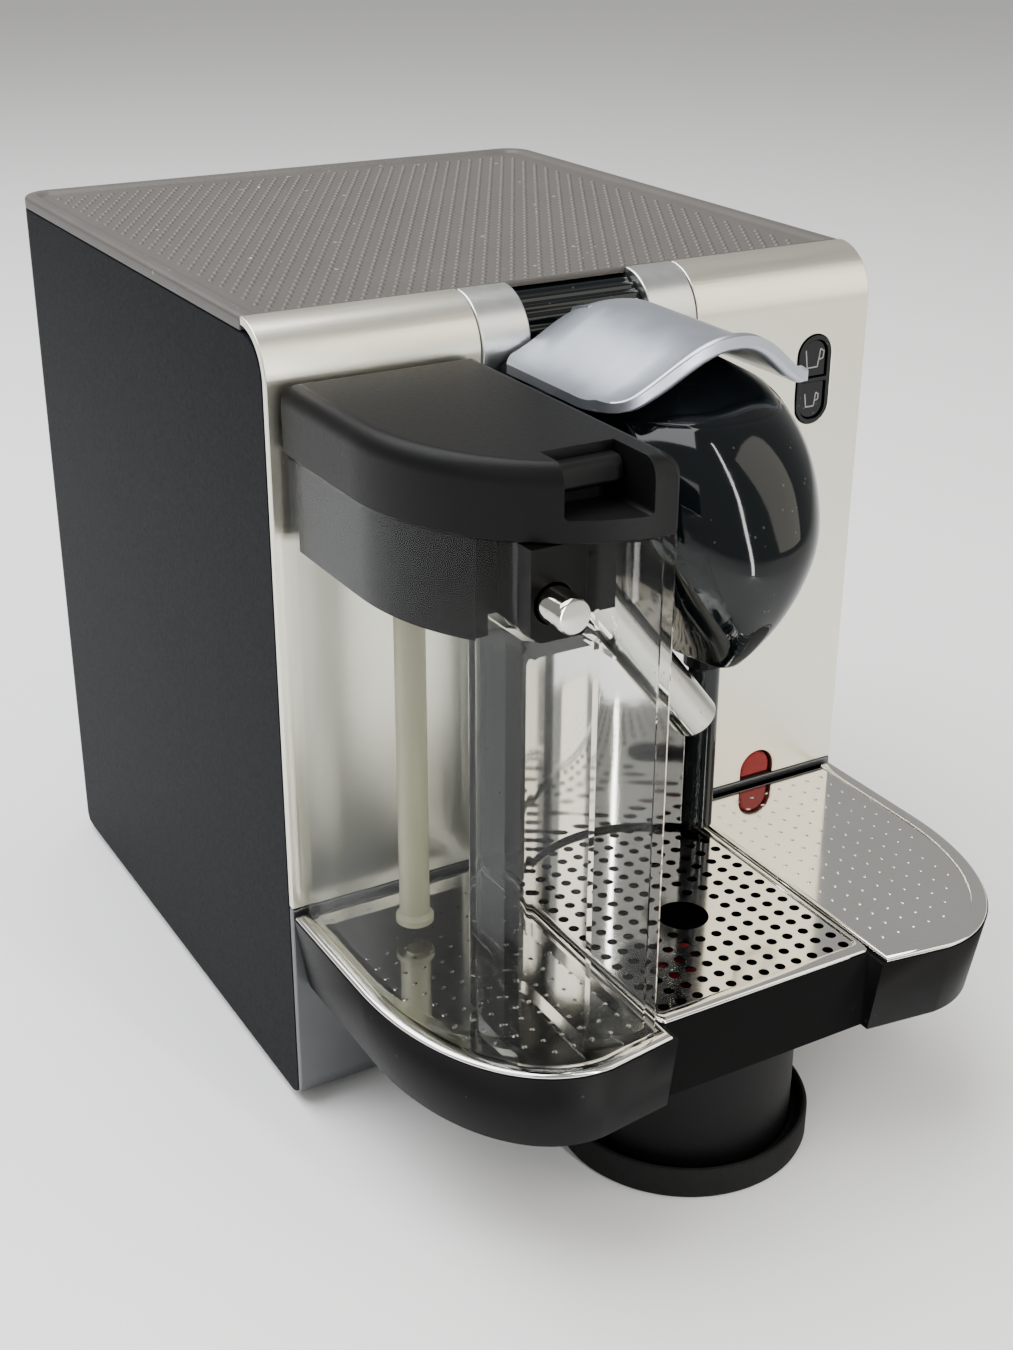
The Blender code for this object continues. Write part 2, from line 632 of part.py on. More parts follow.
def lever():
    """Arched handle plate with a tongue that reaches back to the drum."""
    solid = bmesh.new()
    lengthways, crossways = 8, 16
    top, under = [], []
    for i in range(lengthways + 1):
        top.append([])
        under.append([])
        for j in range(crossways + 1):
            across = -1 + 2 * j / crossways
            along = i / lengthways
            if i == lengthways and abs(across) > 0.9:
                along -= 0.07
            place = lever_point(along, across)
            top[i].append(solid.verts.new(place))
            under[i].append(solid.verts.new(place - Vector((0.0, 0.0, LEVER_THICKNESS))))
    for i in range(lengthways):
        for j in range(crossways):
            solid.faces.new((top[i][j], top[i + 1][j], top[i + 1][j + 1], top[i][j + 1]))
            solid.faces.new((under[i][j], under[i][j + 1], under[i + 1][j + 1], under[i + 1][j]))
    for i in range(lengthways):
        solid.faces.new((top[i][0], under[i][0], under[i + 1][0], top[i + 1][0]))
        solid.faces.new((top[i][-1], top[i + 1][-1], under[i + 1][-1], under[i][-1]))
    for j in range(crossways):
        solid.faces.new((top[0][j], top[0][j + 1], under[0][j + 1], under[0][j]))
        solid.faces.new((top[-1][j], under[-1][j], under[-1][j + 1], top[-1][j + 1]))
    bmesh.ops.recalc_face_normals(solid, faces=solid.faces)
    drum_front = HINGE_Y - HINGE_DRUM_RADIUS
    tongue = prism([(drum_front + 0.0030, HINGE_Z - 0.0016), (drum_front + 0.0030, HINGE_Z + 0.0005),
                    (LEVER_BACK + 0.0002, LEVER_RIDGE_TOP - 0.0062),
                    (LEVER_BACK - 0.0080, LEVER_RIDGE_TOP - 0.0033),
                    (LEVER_BACK - 0.0080, LEVER_RIDGE_TOP - 0.0080)],
                   -TONGUE_HALF, TONGUE_HALF, "X")
    solid = join(solid, tongue)
    return cut(solid, rod("X", (HINGE_Y, HINGE_Z), HINGE_DRUM_RADIUS + GAP, -FAR, FAR, 32))


def brew_piston():
    """Closes the pod chamber; the lever draws it back through its rod."""
    head = rod("Y", (0.0, PISTON_Z), PISTON_RADIUS, POD_SLOT_BACK + TRAY_GAP, PISTON_BACK, 20)
    return join(head, rod("Y", (0.0, PISTON_Z), PISTON_ROD_RADIUS, PISTON_BACK - GAP, PISTON_ROD_END, 12))


# ---------------------------------------------------------------- cup bay and tray
def cup_bay_frame():
    """Two rounded legs under the head, joined by a lintel."""
    solid = None
    for side in (-1, 1):
        inner, outer = side * (LEG_HALF - LEG_WIDTH), side * LEG_HALF
        nose = LEG_WIDTH / 2 - 0.0001
        leg = prism(rounded([(inner, WALL), (inner, -LEG_REACH), (outer, -LEG_REACH), (outer, -GAP),
                             ((inner + outer) / 2, -GAP), ((inner + outer) / 2, WALL)],
                            [0, nose, nose, 0, 0, 0]),
                    FASCIA_BOTTOM, LEG_TOP)
        bmesh.ops.recalc_face_normals(leg, faces=leg.faces)
        solid = leg if solid is None else join(solid, leg)
    inner = LEG_HALF - LEG_WIDTH
    lintel = block((-inner - 0.002, -LEG_REACH + 0.006, LEG_TOP - 0.006),
                   (inner + 0.002, -0.0010, LEG_TOP))
    solid = join(solid, lintel)
    clear = block((-FAR, -GAP, -FAR), (FAR, FAR, FAR))
    return cut(solid, clear)


def bay_half_ellipse(crest, steps=12):
    """Front edge of a side bay, from its crest to the tray's straight side."""
    across, along = HALF_WIDTH - crest, TRAY_REACH - TRAY_STRAIGHT
    points = []
    for i in range(steps + 1):
        angle = math.pi / 2 * (1 - i / steps)
        points.append((crest + across * math.cos(angle) ** 0.95,
                       -TRAY_STRAIGHT - along * math.sin(angle) ** 0.95))
    return points


def side_bay(side, inset=0.0, back=-TRAY_GAP, inner=None):
    """Plan of a side bay of the tray, as (x, y); inset shrinks its outer edges."""
    edge = GRID_WIDTH / 2 + GAP if inner is None else inner
    outline = [(edge, back), (edge, -TRAY_REACH + 0.0030 + inset)]
    for x, y in bay_half_ellipse(SIDE_BAY_CREST):
        slope = Vector(((x - SIDE_BAY_CREST) / (HALF_WIDTH - SIDE_BAY_CREST) ** 2,
                        (y + TRAY_STRAIGHT) / (TRAY_REACH - TRAY_STRAIGHT) ** 2))
        outline.append(tuple(Vector((x, y)) - slope.normalized() * inset))
    outline.append((HALF_WIDTH - inset, back))
    outline = [(side * x, y) for x, y in outline]
    return outline if side > 0 else list(reversed(outline))


def tray_taper(level):
    """How far the side bays' walls have drawn in at a height."""
    return TRAY_TAPER * (TRAY_RIM - level) / (TRAY_RIM - TRAY_BOTTOM)


def tray_solid(inset, low, high, back):
    """The three bays as one solid; the side bays taper towards the bottom."""
    middle = GRID_WIDTH / 2 + BAY_OVERLAP
    solid = block((-middle, -GRID_REACH + inset, low), (middle, back, high))
    edge = GRID_WIDTH / 2 + inset - BAY_OVERLAP / 2
    for side in (-1, 1):
        lower, upper = (side_bay(side, inset + tray_taper(level), back, edge)
                        for level in (low, high))
        solid = join(solid, prism(lower, low, high, end=upper))
    return solid


def drip_tray():
    """Black basin with three bays, and the tongue that carries the pod bin."""
    solid = tray_solid(0.0, TRAY_BOTTOM, TRAY_RIM, -TRAY_GAP)
    hollow = tray_solid(TRAY_WALL, TRAY_BOTTOM + TRAY_WALL, TRAY_TOP, -TRAY_GAP - TRAY_WALL)
    solid = cut(solid, hollow)
    tongue = block((-BIN_HALF, -2 * TRAY_GAP, TONGUE_BOTTOM), (BIN_HALF, BIN_DEPTH, TONGUE_TOP))
    return join(solid, tongue)


def side_plate(side):
    """Mirror steel plate of a side bay, with a rolled rim."""
    edge = GRID_WIDTH / 2 + 0.0008
    plate = prism(side_bay(side, 0.0004, -TRAY_GAP - GAP, edge), TRAY_TOP - PLATE, TRAY_TOP)
    sunk = prism(side_bay(side, 0.0040, -TRAY_GAP - 0.002, edge + 0.0030), TRAY_TOP - 0.0004, FAR)
    return cut(plate, sunk)


def drip_grid():
    """Middle plate with the float's hole; its fine holes are left out here."""
    half = GRID_WIDTH / 2
    points = [(-half, -TRAY_GAP - GAP), (-half, -GRID_REACH + 0.0004),
              (half, -GRID_REACH + 0.0004), (half, -TRAY_GAP - GAP)]
    plate = prism(rounded(points, [0, 0.002, 0.002, 0], 3), TRAY_TOP - PLATE, TRAY_TOP)
    return cut(plate, rod("Z", (0.0, FLOAT_Y), FLOAT_HOLE_RADIUS, -FAR, FAR, 24))


def tray_float():
    """Red float that rises through the grid when the tray is full."""
    floor = TRAY_BOTTOM + TRAY_WALL + GAP
    return join(rod("Z", (0.0, FLOAT_Y), FLOAT_RADIUS, floor, floor + 0.0050, 20),
                rod("Z", (0.0, FLOAT_Y), FLOAT_RADIUS - 0.0024, floor + 0.0040, floor + 0.0130, 16))


def pedestal():
    return rod("Z", (0.0, PEDESTAL_Y), PEDESTAL_RADIUS, 0.0040, TRAY_BOTTOM - GAP, 32)


def pedestal_foot():
    """Rubber-edged foot ring with an upstanding lip round the pedestal."""
    solid = rod("Z", (0.0, PEDESTAL_Y), PEDESTAL_FOOT_RADIUS, 0.0, PEDESTAL_FOOT_HEIGHT, 32)
    solid = cut(solid, rod("Z", (0.0, PEDESTAL_Y), PEDESTAL_FOOT_RADIUS - 0.0022,
                           PEDESTAL_FOOT_HEIGHT - 0.0040, FAR, 32))
    return cut(solid, rod("Z", (0.0, PEDESTAL_Y), PEDESTAL_RADIUS + GAP, 0.0040 - GAP, FAR, 32))


def pod_bin():
    """Open box for used pods, standing on the tray's tongue."""
    floor = TONGUE_TOP + GAP
    solid = block((-BIN_HALF, 0.0, floor), (BIN_HALF, BIN_DEPTH, floor + BIN_HEIGHT))
    return cut(solid, block((-BIN_HALF + BIN_WALL, BIN_WALL, floor + BIN_WALL),
                            (BIN_HALF - BIN_WALL, BIN_DEPTH - BIN_WALL, FAR)))


def bay_plate():
    """Polished steel front of the bin, hollowed to take a cup."""
    half, floor = BIN_HALF, TRAY_TOP + 0.0010
    outline = [(half, -GAP), (-half, -GAP)]
    steps = 12
    for i in range(steps + 1):
        x = -half + 2 * half * i / steps
        outline.append((x, -0.0120 * (x / half) ** 2 - 0.0018))
    return prism(outline, floor, BAY_PLATE_TOP)


# ---------------------------------------------------------------- milk jug
def jug_outline(inset=0.0, steps=10):
    """D-shaped plan of the jug, as (x, y)."""
    right, left = JUG_RIGHT - inset, JUG_LEFT + inset
    across = right - left - JUG_CORNER * 0.5
    along = JUG_REACH - JUG_STRAIGHT - inset
    outline = [(right, JUG_BACK - inset), (left, JUG_BACK - inset)]
    for i in range(steps + 1):
        angle = math.pi / 2 * i / steps
        outline.append((left + across * (1 - math.cos(angle)),
                        -JUG_STRAIGHT - along * math.sin(angle)))
    outline.append((right, -JUG_STRAIGHT - along + JUG_CORNER * 0.6))
    return outline


def groove(grow, low, high):
    """Finger groove in the front of the jug."""
    outline = [(GROOVE_LEFT - grow, -FAR), (GROOVE_RIGHT + grow, -FAR),
               (GROOVE_RIGHT + grow, GROOVE_BACK + grow), (GROOVE_LEFT - grow, GROOVE_BACK + grow)]
    return prism(rounded(outline, [0, 0, 0.004 + grow, 0.004 + grow], 3), low, high)


def spout_slot():
    """Opening in the jug's right wall for the spout, open at the top."""
    reach = SPOUT_RADIUS + SLIDE_GAP
    return block((JUG_RIGHT - JUG_WALL * 2, SPOUT_Y - reach, SPOUT_SLOT_BOTTOM),
                 (FAR, SPOUT_Y + reach, FAR))


def milk_jug():
    """Clear jug, open at the top, with a finger groove and three notches in its rim."""
    solid = prism(jug_outline(), JUG_BOTTOM, JUG_TOP)
    solid = cut(solid, groove(0.0, -FAR, BUTTON_BLOCK_BOTTOM - GAP))
    hollow = cut(prism(jug_outline(JUG_WALL), JUG_BOTTOM + JUG_WALL, FAR),
                 groove(JUG_WALL, -FAR, BUTTON_BLOCK_BOTTOM - GAP + JUG_WALL))
    solid = cut(solid, hollow)
    button_notch = block((GROOVE_LEFT - 0.0010, -FAR, BUTTON_BLOCK_BOTTOM - GAP),
                         (GROOVE_RIGHT + 0.0010, BUTTON_BLOCK_BACK + GAP, FAR))
    steam_notch = block((STEAM_X - 0.0080, JUG_BACK - 0.004, STEAM_Z - 0.0080),
                        (STEAM_X + 0.0080, FAR, FAR))
    return cut(solid, button_notch, spout_slot(), steam_notch)


def jug_lid():
    """Lid with a finger recess that is open at the top and the front."""
    low, high = JUG_TOP + GAP, JUG_TOP + LID_THICKNESS
    solid = prism(jug_outline(), low, high - LID_EDGE)
    for step in range(1, 4):
        angle = math.pi / 2 * step / 3
        inset = LID_EDGE * (1 - math.cos(angle))
        under = LID_EDGE * (1 - math.sin(math.pi / 2 * (step - 1) / 3))
        over = LID_EDGE * (1 - math.sin(angle))
        solid = join(solid, prism(jug_outline(inset * 0.8), high - under - 0.0001, high - over))
    recess = block((RECESS_LEFT, -FAR, RECESS_FLOOR), (RECESS_RIGHT, RECESS_BACK, FAR))
    return cut(solid, recess)


def froth_housing():
    """Black frothing block under the lid, with the button block at its front."""
    inset = JUG_WALL + SLIDE_GAP
    solid = prism(jug_outline(inset), HOUSING_BOTTOM, JUG_TOP)
    fore = -JUG_REACH + BUTTON_BLOCK_FRONT
    body_front = BUTTON_BLOCK_BACK + 0.0040
    front = block((GROOVE_LEFT - 0.0070, -FAR, -FAR), (FAR, body_front, FAR))
    ceiling = BUTTON_BLOCK_BOTTOM + JUG_WALL + SLIDE_GAP
    solid = cut(solid, front, groove(JUG_WALL + SLIDE_GAP, -FAR, ceiling))
    solid = join(solid, block((GROOVE_LEFT - 0.0004, fore, BUTTON_BLOCK_BOTTOM),
                              (GROOVE_RIGHT + 0.0004, BUTTON_BLOCK_BACK, ceiling)),
                 block((GROOVE_LEFT - 0.0004, fore, ceiling - GAP),
                       (GROOVE_RIGHT + 0.0004, body_front + 0.0010, JUG_TOP)))
    solid = cut(solid, spout_rod(SPOUT_RADIUS + GAP, -0.0040, 0.100))
    socket = rod("Y", (STEAM_X, STEAM_Z), STEAM_RADIUS + SLIDE_GAP, -0.0160, FAR, 12)
    bore = rod("Y", (CLEAN_BUTTON_X, CLEAN_BUTTON_Z), CLEAN_BUTTON_RADIUS + SLIDE_GAP, -FAR,
               BUTTON_BLOCK_BACK, 16)
    tube = rod("Z", (TUBE_X, TUBE_Y), TUBE_RADIUS + GAP, -FAR, HOUSING_BOTTOM + 0.0060, 12)
    return cut(solid, socket, bore, tube)


def suction_tube():
    """Milk tube with a flared foot, pushed into the housing."""
    foot = JUG_BOTTOM + JUG_WALL + 0.0020
    solid = join(rod("Z", (TUBE_X, TUBE_Y), TUBE_RADIUS, foot, HOUSING_BOTTOM + 0.0055, 12),
                 rod("Z", (TUBE_X, TUBE_Y), TUBE_RADIUS + 0.0012, foot, foot + 0.0030, 12))
    return cut(solid, rod("Z", (TUBE_X, TUBE_Y), TUBE_BORE, -FAR, FAR, 12))


def spout_rod(radius, before, after, sides=16):
    """A bar along the spout's axis; before and after are measured from its root and tip."""
    root = Vector((SPOUT_ROOT[0], SPOUT_Y, JUG_TOP - SPOUT_ROOT[1]))
    tip = Vector((SPOUT_TIP[0], SPOUT_Y, JUG_TOP - SPOUT_TIP[1]))
    along = (tip - root).normalized()
    length = (tip - root).length
    solid = rod("Z", (0.0, 0.0), radius, before, length + after, sides)
    turn = Vector((0.0, 0.0, 1.0)).rotation_difference(along).to_matrix().to_4x4()
    bmesh.ops.transform(solid, verts=solid.verts, matrix=Matrix.Translation(root) @ turn)
    return solid


def milk_spout():
    return cut(spout_rod(SPOUT_RADIUS, -0.0037, 0.0), spout_rod(SPOUT_BORE, 0.0020, 0.050))


def clean_button():
    """Chrome plunger in the button block."""
    return rod("Y", (CLEAN_BUTTON_X, CLEAN_BUTTON_Z), CLEAN_BUTTON_RADIUS, -JUG_REACH - 0.0015,
               BUTTON_BLOCK_BACK - 0.0070, 20)


def lid_latch():
    """Rounded bar across the lid's recess."""
    top, front = LATCH_BOTTOM + LATCH_HEIGHT, RECESS_BACK - LATCH_REACH
    points = [(RECESS_BACK - GAP, LATCH_BOTTOM), (front, LATCH_BOTTOM + LATCH_HEIGHT / 3),
              (front, top), (RECESS_BACK - GAP, top)]
    outline = rounded(points, [0.0, 0.0010, 0.0025, 0.0], 3)
    return prism(outline, RECESS_LEFT + SLIDE_GAP, RECESS_RIGHT - SLIDE_GAP, "X")


# ---------------------------------------------------------------- inside the casing
def chassis():
    """Floor with a bulkhead in front of the tank."""
    half = HALF_WIDTH - WALL - 0.0030
    floor_low = BODY_BASE + WALL + GAP
    rounded_floor = block((-half, HEEL_RADIUS, floor_low),
                          (half, BODY_DEPTH - HEEL_RADIUS - 0.001, floor_low + CHASSIS_FLOOR))
    bulkhead = block((-half, TANK_FRONT - 0.0060, floor_low + 0.0020),
                     (half, TANK_FRONT - 0.0030, COVER_BOTTOM - 0.0010))
    solid = join(rounded_floor, bulkhead)
    for x in (-0.053, 0.053):
        rail = block((x - 0.003, TANK_FRONT - 0.0040, floor_low + 0.0020),
                     (x + 0.003, BODY_DEPTH - 0.0180, TANK_BOTTOM - GAP))
        solid = join(solid, rail)
    return cut(solid, rod("Y", (0.0, TANK_PORT_Z), TANK_PORT_RADIUS - 0.001 + GAP, -FAR, FAR, 12))


def base_plate():
    """Underside of the casing between the side panels."""
    edge = HALF_WIDTH - WALL - BACK_RADIUS - GAP
    return block((-edge, TOE_RADIUS + GAP, BODY_BASE), (edge, BODY_DEPTH - HEEL_RADIUS - GAP,
                                                        BODY_BASE + WALL))


def water_tank():
    """Tank that slides in from the back, with a finger recess in its rear wall."""
    low = (-TANK_HALF_WIDTH, TANK_FRONT, TANK_BOTTOM)
    high = (TANK_HALF_WIDTH, BODY_DEPTH, TANK_TOP)
    solid = block(low, high)
    inner = block(tuple(c + TANK_WALL for c in low),
                  (high[0] - TANK_WALL, high[1] - TANK_WALL, FAR))
    grip_top, grip_back = TANK_TOP - GRIP_DROP, BODY_DEPTH - GRIP_DEPTH
    grip = block((-GRIP_HALF, grip_back, grip_top - GRIP_HEIGHT), (GRIP_HALF, FAR, grip_top))
    grip_wall = block((-GRIP_HALF - TANK_WALL, grip_back - TANK_WALL,
                       grip_top - GRIP_HEIGHT - TANK_WALL),
                      (GRIP_HALF + TANK_WALL, FAR, grip_top + TANK_WALL))
    inner = cut(inner, grip_wall)
    solid = cut(solid, inner)
    solid = cut(solid, grip)
    return cut(solid, rod("Y", (0.0, TANK_PORT_Z), TANK_PORT_RADIUS, -FAR, TANK_FRONT + 0.010, 16))


def tank_lid():
    return block((-TANK_HALF_WIDTH, TANK_FRONT, TANK_TOP + GAP),
                 (TANK_HALF_WIDTH, BODY_DEPTH, TANK_TOP + TANK_LID))


def tank_valve():
    """Sprung poppet behind the tank's port."""
    face = TANK_FRONT + TANK_WALL + GAP
    return join(rod("Y", (0.0, TANK_PORT_Z), TANK_PORT_RADIUS + 0.0020, face, face + 0.0020, 16),
                rod("Y", (0.0, TANK_PORT_Z), 0.0020, face + 0.0010, face + 0.0140, 8))


def tank_coupling():
    """Nozzle in the bulkhead that seals in the tank's port."""
    radius = TANK_PORT_RADIUS - 0.0010
    solid = join(rod("Y", (0.0, TANK_PORT_Z), radius, TANK_FRONT - 0.0120, TANK_FRONT + 0.0010, 16),
                 rod("Y", (0.0, TANK_PORT_Z), radius + 0.0040, TANK_FRONT - 0.0120,
                     TANK_FRONT - 0.0060 - GAP, 16))
    return cut(solid, rod("Y", (0.0, TANK_PORT_Z), 0.0025, -FAR, FAR, 12))


def steam_nozzle():
    """Steam outlet that the docked jug is pushed onto."""
    solid = join(rod("Y", (STEAM_X, STEAM_Z), STEAM_RADIUS, -0.0150, 0.0250, 12),
                 rod("Y", (STEAM_X, STEAM_Z), STEAM_RADIUS + 0.0040, WALL + GAP, 0.0060, 12))
    return cut(solid, rod("Y", (STEAM_X, STEAM_Z), 0.0020, -FAR, FAR, 8))


def pump():
    """Vibration pump: coil body with its valve stub."""
    x, z = PUMP_AXIS
    solid = block((x - COIL_HALF, PUMP_FRONT + COIL_INSET, z - COIL_HALF),
                  (x + COIL_HALF, PUMP_BACK - COIL_INSET, z + COIL_HALF))
    return join(solid, rod("Y", PUMP_AXIS, PUMP_RADIUS, PUMP_FRONT, PUMP_BACK, 12))


def pump_cradle(y):
    """Rubber saddle under one end of the pump."""
    x, z = PUMP_AXIS
    floor = BODY_BASE + WALL + GAP + CHASSIS_FLOOR + GAP
    solid = block((x - CRADLE_HALF, y, floor), (x + CRADLE_HALF, y + CRADLE_THICKNESS, CRADLE_TOP))
    return cut(solid, rod("Y", PUMP_AXIS, PUMP_RADIUS + GAP, -FAR, FAR, 12),
               block((x - PUMP_RADIUS, -FAR, z), (x + PUMP_RADIUS, FAR, FAR)))


def thermoblock():
    """Heater block with its two water stubs."""
    solid = block(HEATER_LOW, HEATER_HIGH)
    middle = (HEATER_LOW[1] + HEATER_HIGH[1]) / 2
    for x in STUB_PLACES:
        solid = join(solid, rod("Z", (x, middle), STUB_RADIUS, HEATER_HIGH[2] - GAP,
                                HEATER_HIGH[2] + STUB_HEIGHT, 10))
    return solid


def circuit_board():
    """Controller board that stands beside the left panel."""
    return block(BOARD_LOW, (BOARD_LOW[0] + BOARD_THICKNESS, BOARD_BACK, TANK_TOP - BOARD_DROP))


def rubber_foot(x, y):
    return rod("Z", (x, y), 0.0080, 0.0, BODY_BASE - GAP, 16)


def cord_gland():
    """Empty cord inlet in the rear wall."""
    solid = join(rod("Y", (GLAND_X, GLAND_Z), GLAND_RADIUS, BODY_DEPTH - 0.0100, BODY_DEPTH, 12),
                 rod("Y", (GLAND_X, GLAND_Z), GLAND_RADIUS + 0.0020, BODY_DEPTH - 0.0100,
                     BODY_DEPTH - WALL - GAP, 12))
    return cut(solid, rod("Y", (GLAND_X, GLAND_Z), 0.0036, -FAR, FAR, 12))


# ---------------------------------------------------------------- controls
def button_bezel():
    """Gloss black pill with two windows, set in the fascia."""
    solid = prism(pill(PILL_X, PILL_BOTTOM, PILL_TOP, PILL_WIDTH / 2), -0.0004, 0.0050, "Y")
    for window in pill_windows(0.0):
        solid = cut(solid, prism(window, -FAR, FAR, "Y"))
    return solid


def pill_windows(shrink):
    """Outlines of the two cup buttons, as (x, z)."""
    half = PILL_WIDTH / 2 - 0.0014 - shrink
    middle = (PILL_BOTTOM + PILL_TOP) / 2
    low, high = PILL_BOTTOM + 0.0014 + shrink, PILL_TOP - 0.0014 - shrink
    split = 0.0006 + shrink
    curve = half - 0.0002
    lower = rounded([(PILL_X - half, low), (PILL_X + half, low), (PILL_X + half, middle - split),
                     (PILL_X - half, middle - split)], [curve, curve, 0.0, 0.0])
    upper = rounded([(PILL_X - half, middle + split), (PILL_X + half, middle + split),
                     (PILL_X + half, high), (PILL_X - half, high)], [0.0, 0.0, curve, curve])
    return lower, upper


def cup_button(index):
    return prism(pill_windows(GAP)[index], 0.0004, 0.0080, "Y")


def milk_button():
    """Round button with a shallow dish."""
    solid = rod("Y", (ROUND_BUTTON_X, ROUND_BUTTON_Z), ROUND_BUTTON_RADIUS, -0.0006, 0.0080, 24)
    return cut(solid, rod("Y", (ROUND_BUTTON_X, ROUND_BUTTON_Z), ROUND_BUTTON_RADIUS - 0.0014,
                          -FAR, -0.0001, 24))


def power_button():
    return prism(arch(POWER_X, POWER_WIDTH / 2, FASCIA_BOTTOM, POWER_TOP), 0.0010, 0.0080, "Y")


def base_screw(x, y):
    """Screw that holds the base plate."""
    return rod("Z", (x, y), 0.0030, BODY_BASE - 0.0016, BODY_BASE - GAP, 10)


def build():
    """Make every node and hang it on its body."""
    node("left_side_panel", side_panel(-1), "blue_black")
    node("right_side_panel", side_panel(1), "blue_black")
    node("rear_panel", rear_panel(), "satin_black")
    node("heel_panel", heel_panel(), "satin_black")
    node("top_cover", top_cover(), "warm_grey")
    node("front_fascia", front_fascia(), "satin_steel")
    node("lower_front_panel", lower_front_panel(), "satin_silver")
    node("base_plate", base_plate(), "satin_black")
    node("chassis", chassis(), "grey_plastic")

    node("brew_head_shell", brew_head_shell(), "gloss_black")
    node("brew_chamber", brew_chamber(), "grey_plastic")
    node("coffee_outlet", coffee_outlet(), "satin_black")
    node("cup_bay_frame", cup_bay_frame(), "gloss_black")
    node("hinge_barrel_left", hinge_barrel(-1), "satin_silver")
    node("hinge_barrel_right", hinge_barrel(1), "satin_silver")
    node("hinge_pin", rod("X", (HINGE_Y, HINGE_Z), HINGE_PIN_RADIUS, -HINGE_HALF - 0.008,
                          HINGE_HALF + 0.008, 16), "cast_alloy")

    lever_body = body("lever_axis", (0.0, HINGE_Y, HINGE_Z))
    node("hinge_drum", hinge_drum(), "gloss_black", lever_body)
    node("lever", lever(), "satin_silver", lever_body)
    piston_body = body("piston_axis", (0.0, 0.0, PISTON_Z))
    node("brew_piston", brew_piston(), "grey_plastic", piston_body)

    node("button_bezel", button_bezel(), "gloss_black")
    middle = (PILL_BOTTOM + PILL_TOP) / 2
    for index, name in enumerate(("short_cup_button", "long_cup_button")):
        button_body = body(name + "_axis", (PILL_X, 0.0, middle + (index - 0.5) * PILL_WIDTH))
        node(name, cup_button(index), "gloss_black", button_body)
    milk_body = body("milk_button_axis", (ROUND_BUTTON_X, 0.0, ROUND_BUTTON_Z))
    node("milk_button", milk_button(), "satin_steel", milk_body)
    power_body = body("power_button_axis", (POWER_X, 0.0, FASCIA_BOTTOM))
    node("power_button", power_button(), "red", power_body)

    tray_body = body("tray_axis", (0.0, -TRAY_GAP, TRAY_BOTTOM))
    node("drip_tray", drip_tray(), "satin_black", tray_body)
    node("left_plate", side_plate(-1), "mirror_steel", tray_body)
    node("right_plate", side_plate(1), "mirror_steel", tray_body)
    node("pedestal", pedestal(), "satin_black", tray_body)
    node("pedestal_foot", pedestal_foot(), "rubber", tray_body)
    node("pod_bin", pod_bin(), "satin_black", tray_body)
    node("bay_plate", bay_plate(), "mirror_steel", tray_body)
    grid_body = body("grid_axis", (0.0, FLOAT_Y, TRAY_TOP), tray_body)
    node("drip_grid", drip_grid(), "mirror_steel", grid_body)
    float_body = body("float_axis", (0.0, FLOAT_Y, TRAY_BOTTOM), tray_body)
    node("tray_float", tray_float(), "red", float_body)

    jug_body = body("jug_axis", (STEAM_X, 0.0, STEAM_Z))
    node("milk_jug", milk_jug(), "clear", jug_body)
    node("jug_lid", jug_lid(), "satin_black", jug_body)
    node("froth_housing", froth_housing(), "satin_black", jug_body)
    node("suction_tube", suction_tube(), "milky", jug_body)
    node("milk_spout", milk_spout(), "chrome", jug_body)
    clean_body = body("clean_button_axis", (CLEAN_BUTTON_X, 0.0, CLEAN_BUTTON_Z), jug_body)
    node("clean_button", clean_button(), "chrome", clean_body)
    latch_body = body("lid_latch_axis", (RECESS_LEFT, RECESS_BACK, TRAY_TOP), jug_body)
    node("lid_latch", lid_latch(), "satin_black", latch_body)

    tank_body = body("tank_axis", (0.0, TANK_FRONT, TANK_PORT_Z))
    node("water_tank", water_tank(), "clear", tank_body)
    node("tank_lid", tank_lid(), "satin_black", tank_body)
    valve_body = body("tank_valve_axis", (0.0, TANK_FRONT, TANK_PORT_Z), tank_body)
    node("tank_valve", tank_valve(), "rubber", valve_body)
    node("tank_coupling", tank_coupling(), "grey_plastic")
    node("steam_nozzle", steam_nozzle(), "satin_black")

    node("pump", pump(), "cast_alloy")
    node("pump_cradle_front", pump_cradle(0.0350), "rubber")
    node("pump_cradle_rear", pump_cradle(0.0960), "rubber")
    node("thermoblock", thermoblock(), "cast_alloy")
    node("circuit_board", circuit_board(), "board_green")
    node("cord_gland", cord_gland(), "rubber")
    feet = (("foot_front_left", -0.085, 0.030), ("foot_front_right", 0.085, 0.030),
            ("foot_back_left", -0.085, 0.195), ("foot_back_right", 0.085, 0.195))
    for name, x, y in feet:
        node(name, rubber_foot(x, y), "rubber")
    screws = (("screw_front_left", -0.070, 0.050), ("screw_front_right", 0.070, 0.050),
              ("screw_back_left", -0.070, 0.170), ("screw_back_right", 0.070, 0.170))
    for name, x, y in screws:
        node(name, base_screw(x, y), "cast_alloy")


clear_scene()
ORIGINS = {"machine": (0.0, 0.0, 0.0)}
MACHINE = add_empty("machine", (0.0, FRONT_Y, 0.0))
build()
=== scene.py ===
from math import copysign, cos, hypot, pi, radians, sin, sqrt, tan

import bmesh
import bpy
from mathutils import Matrix, Vector


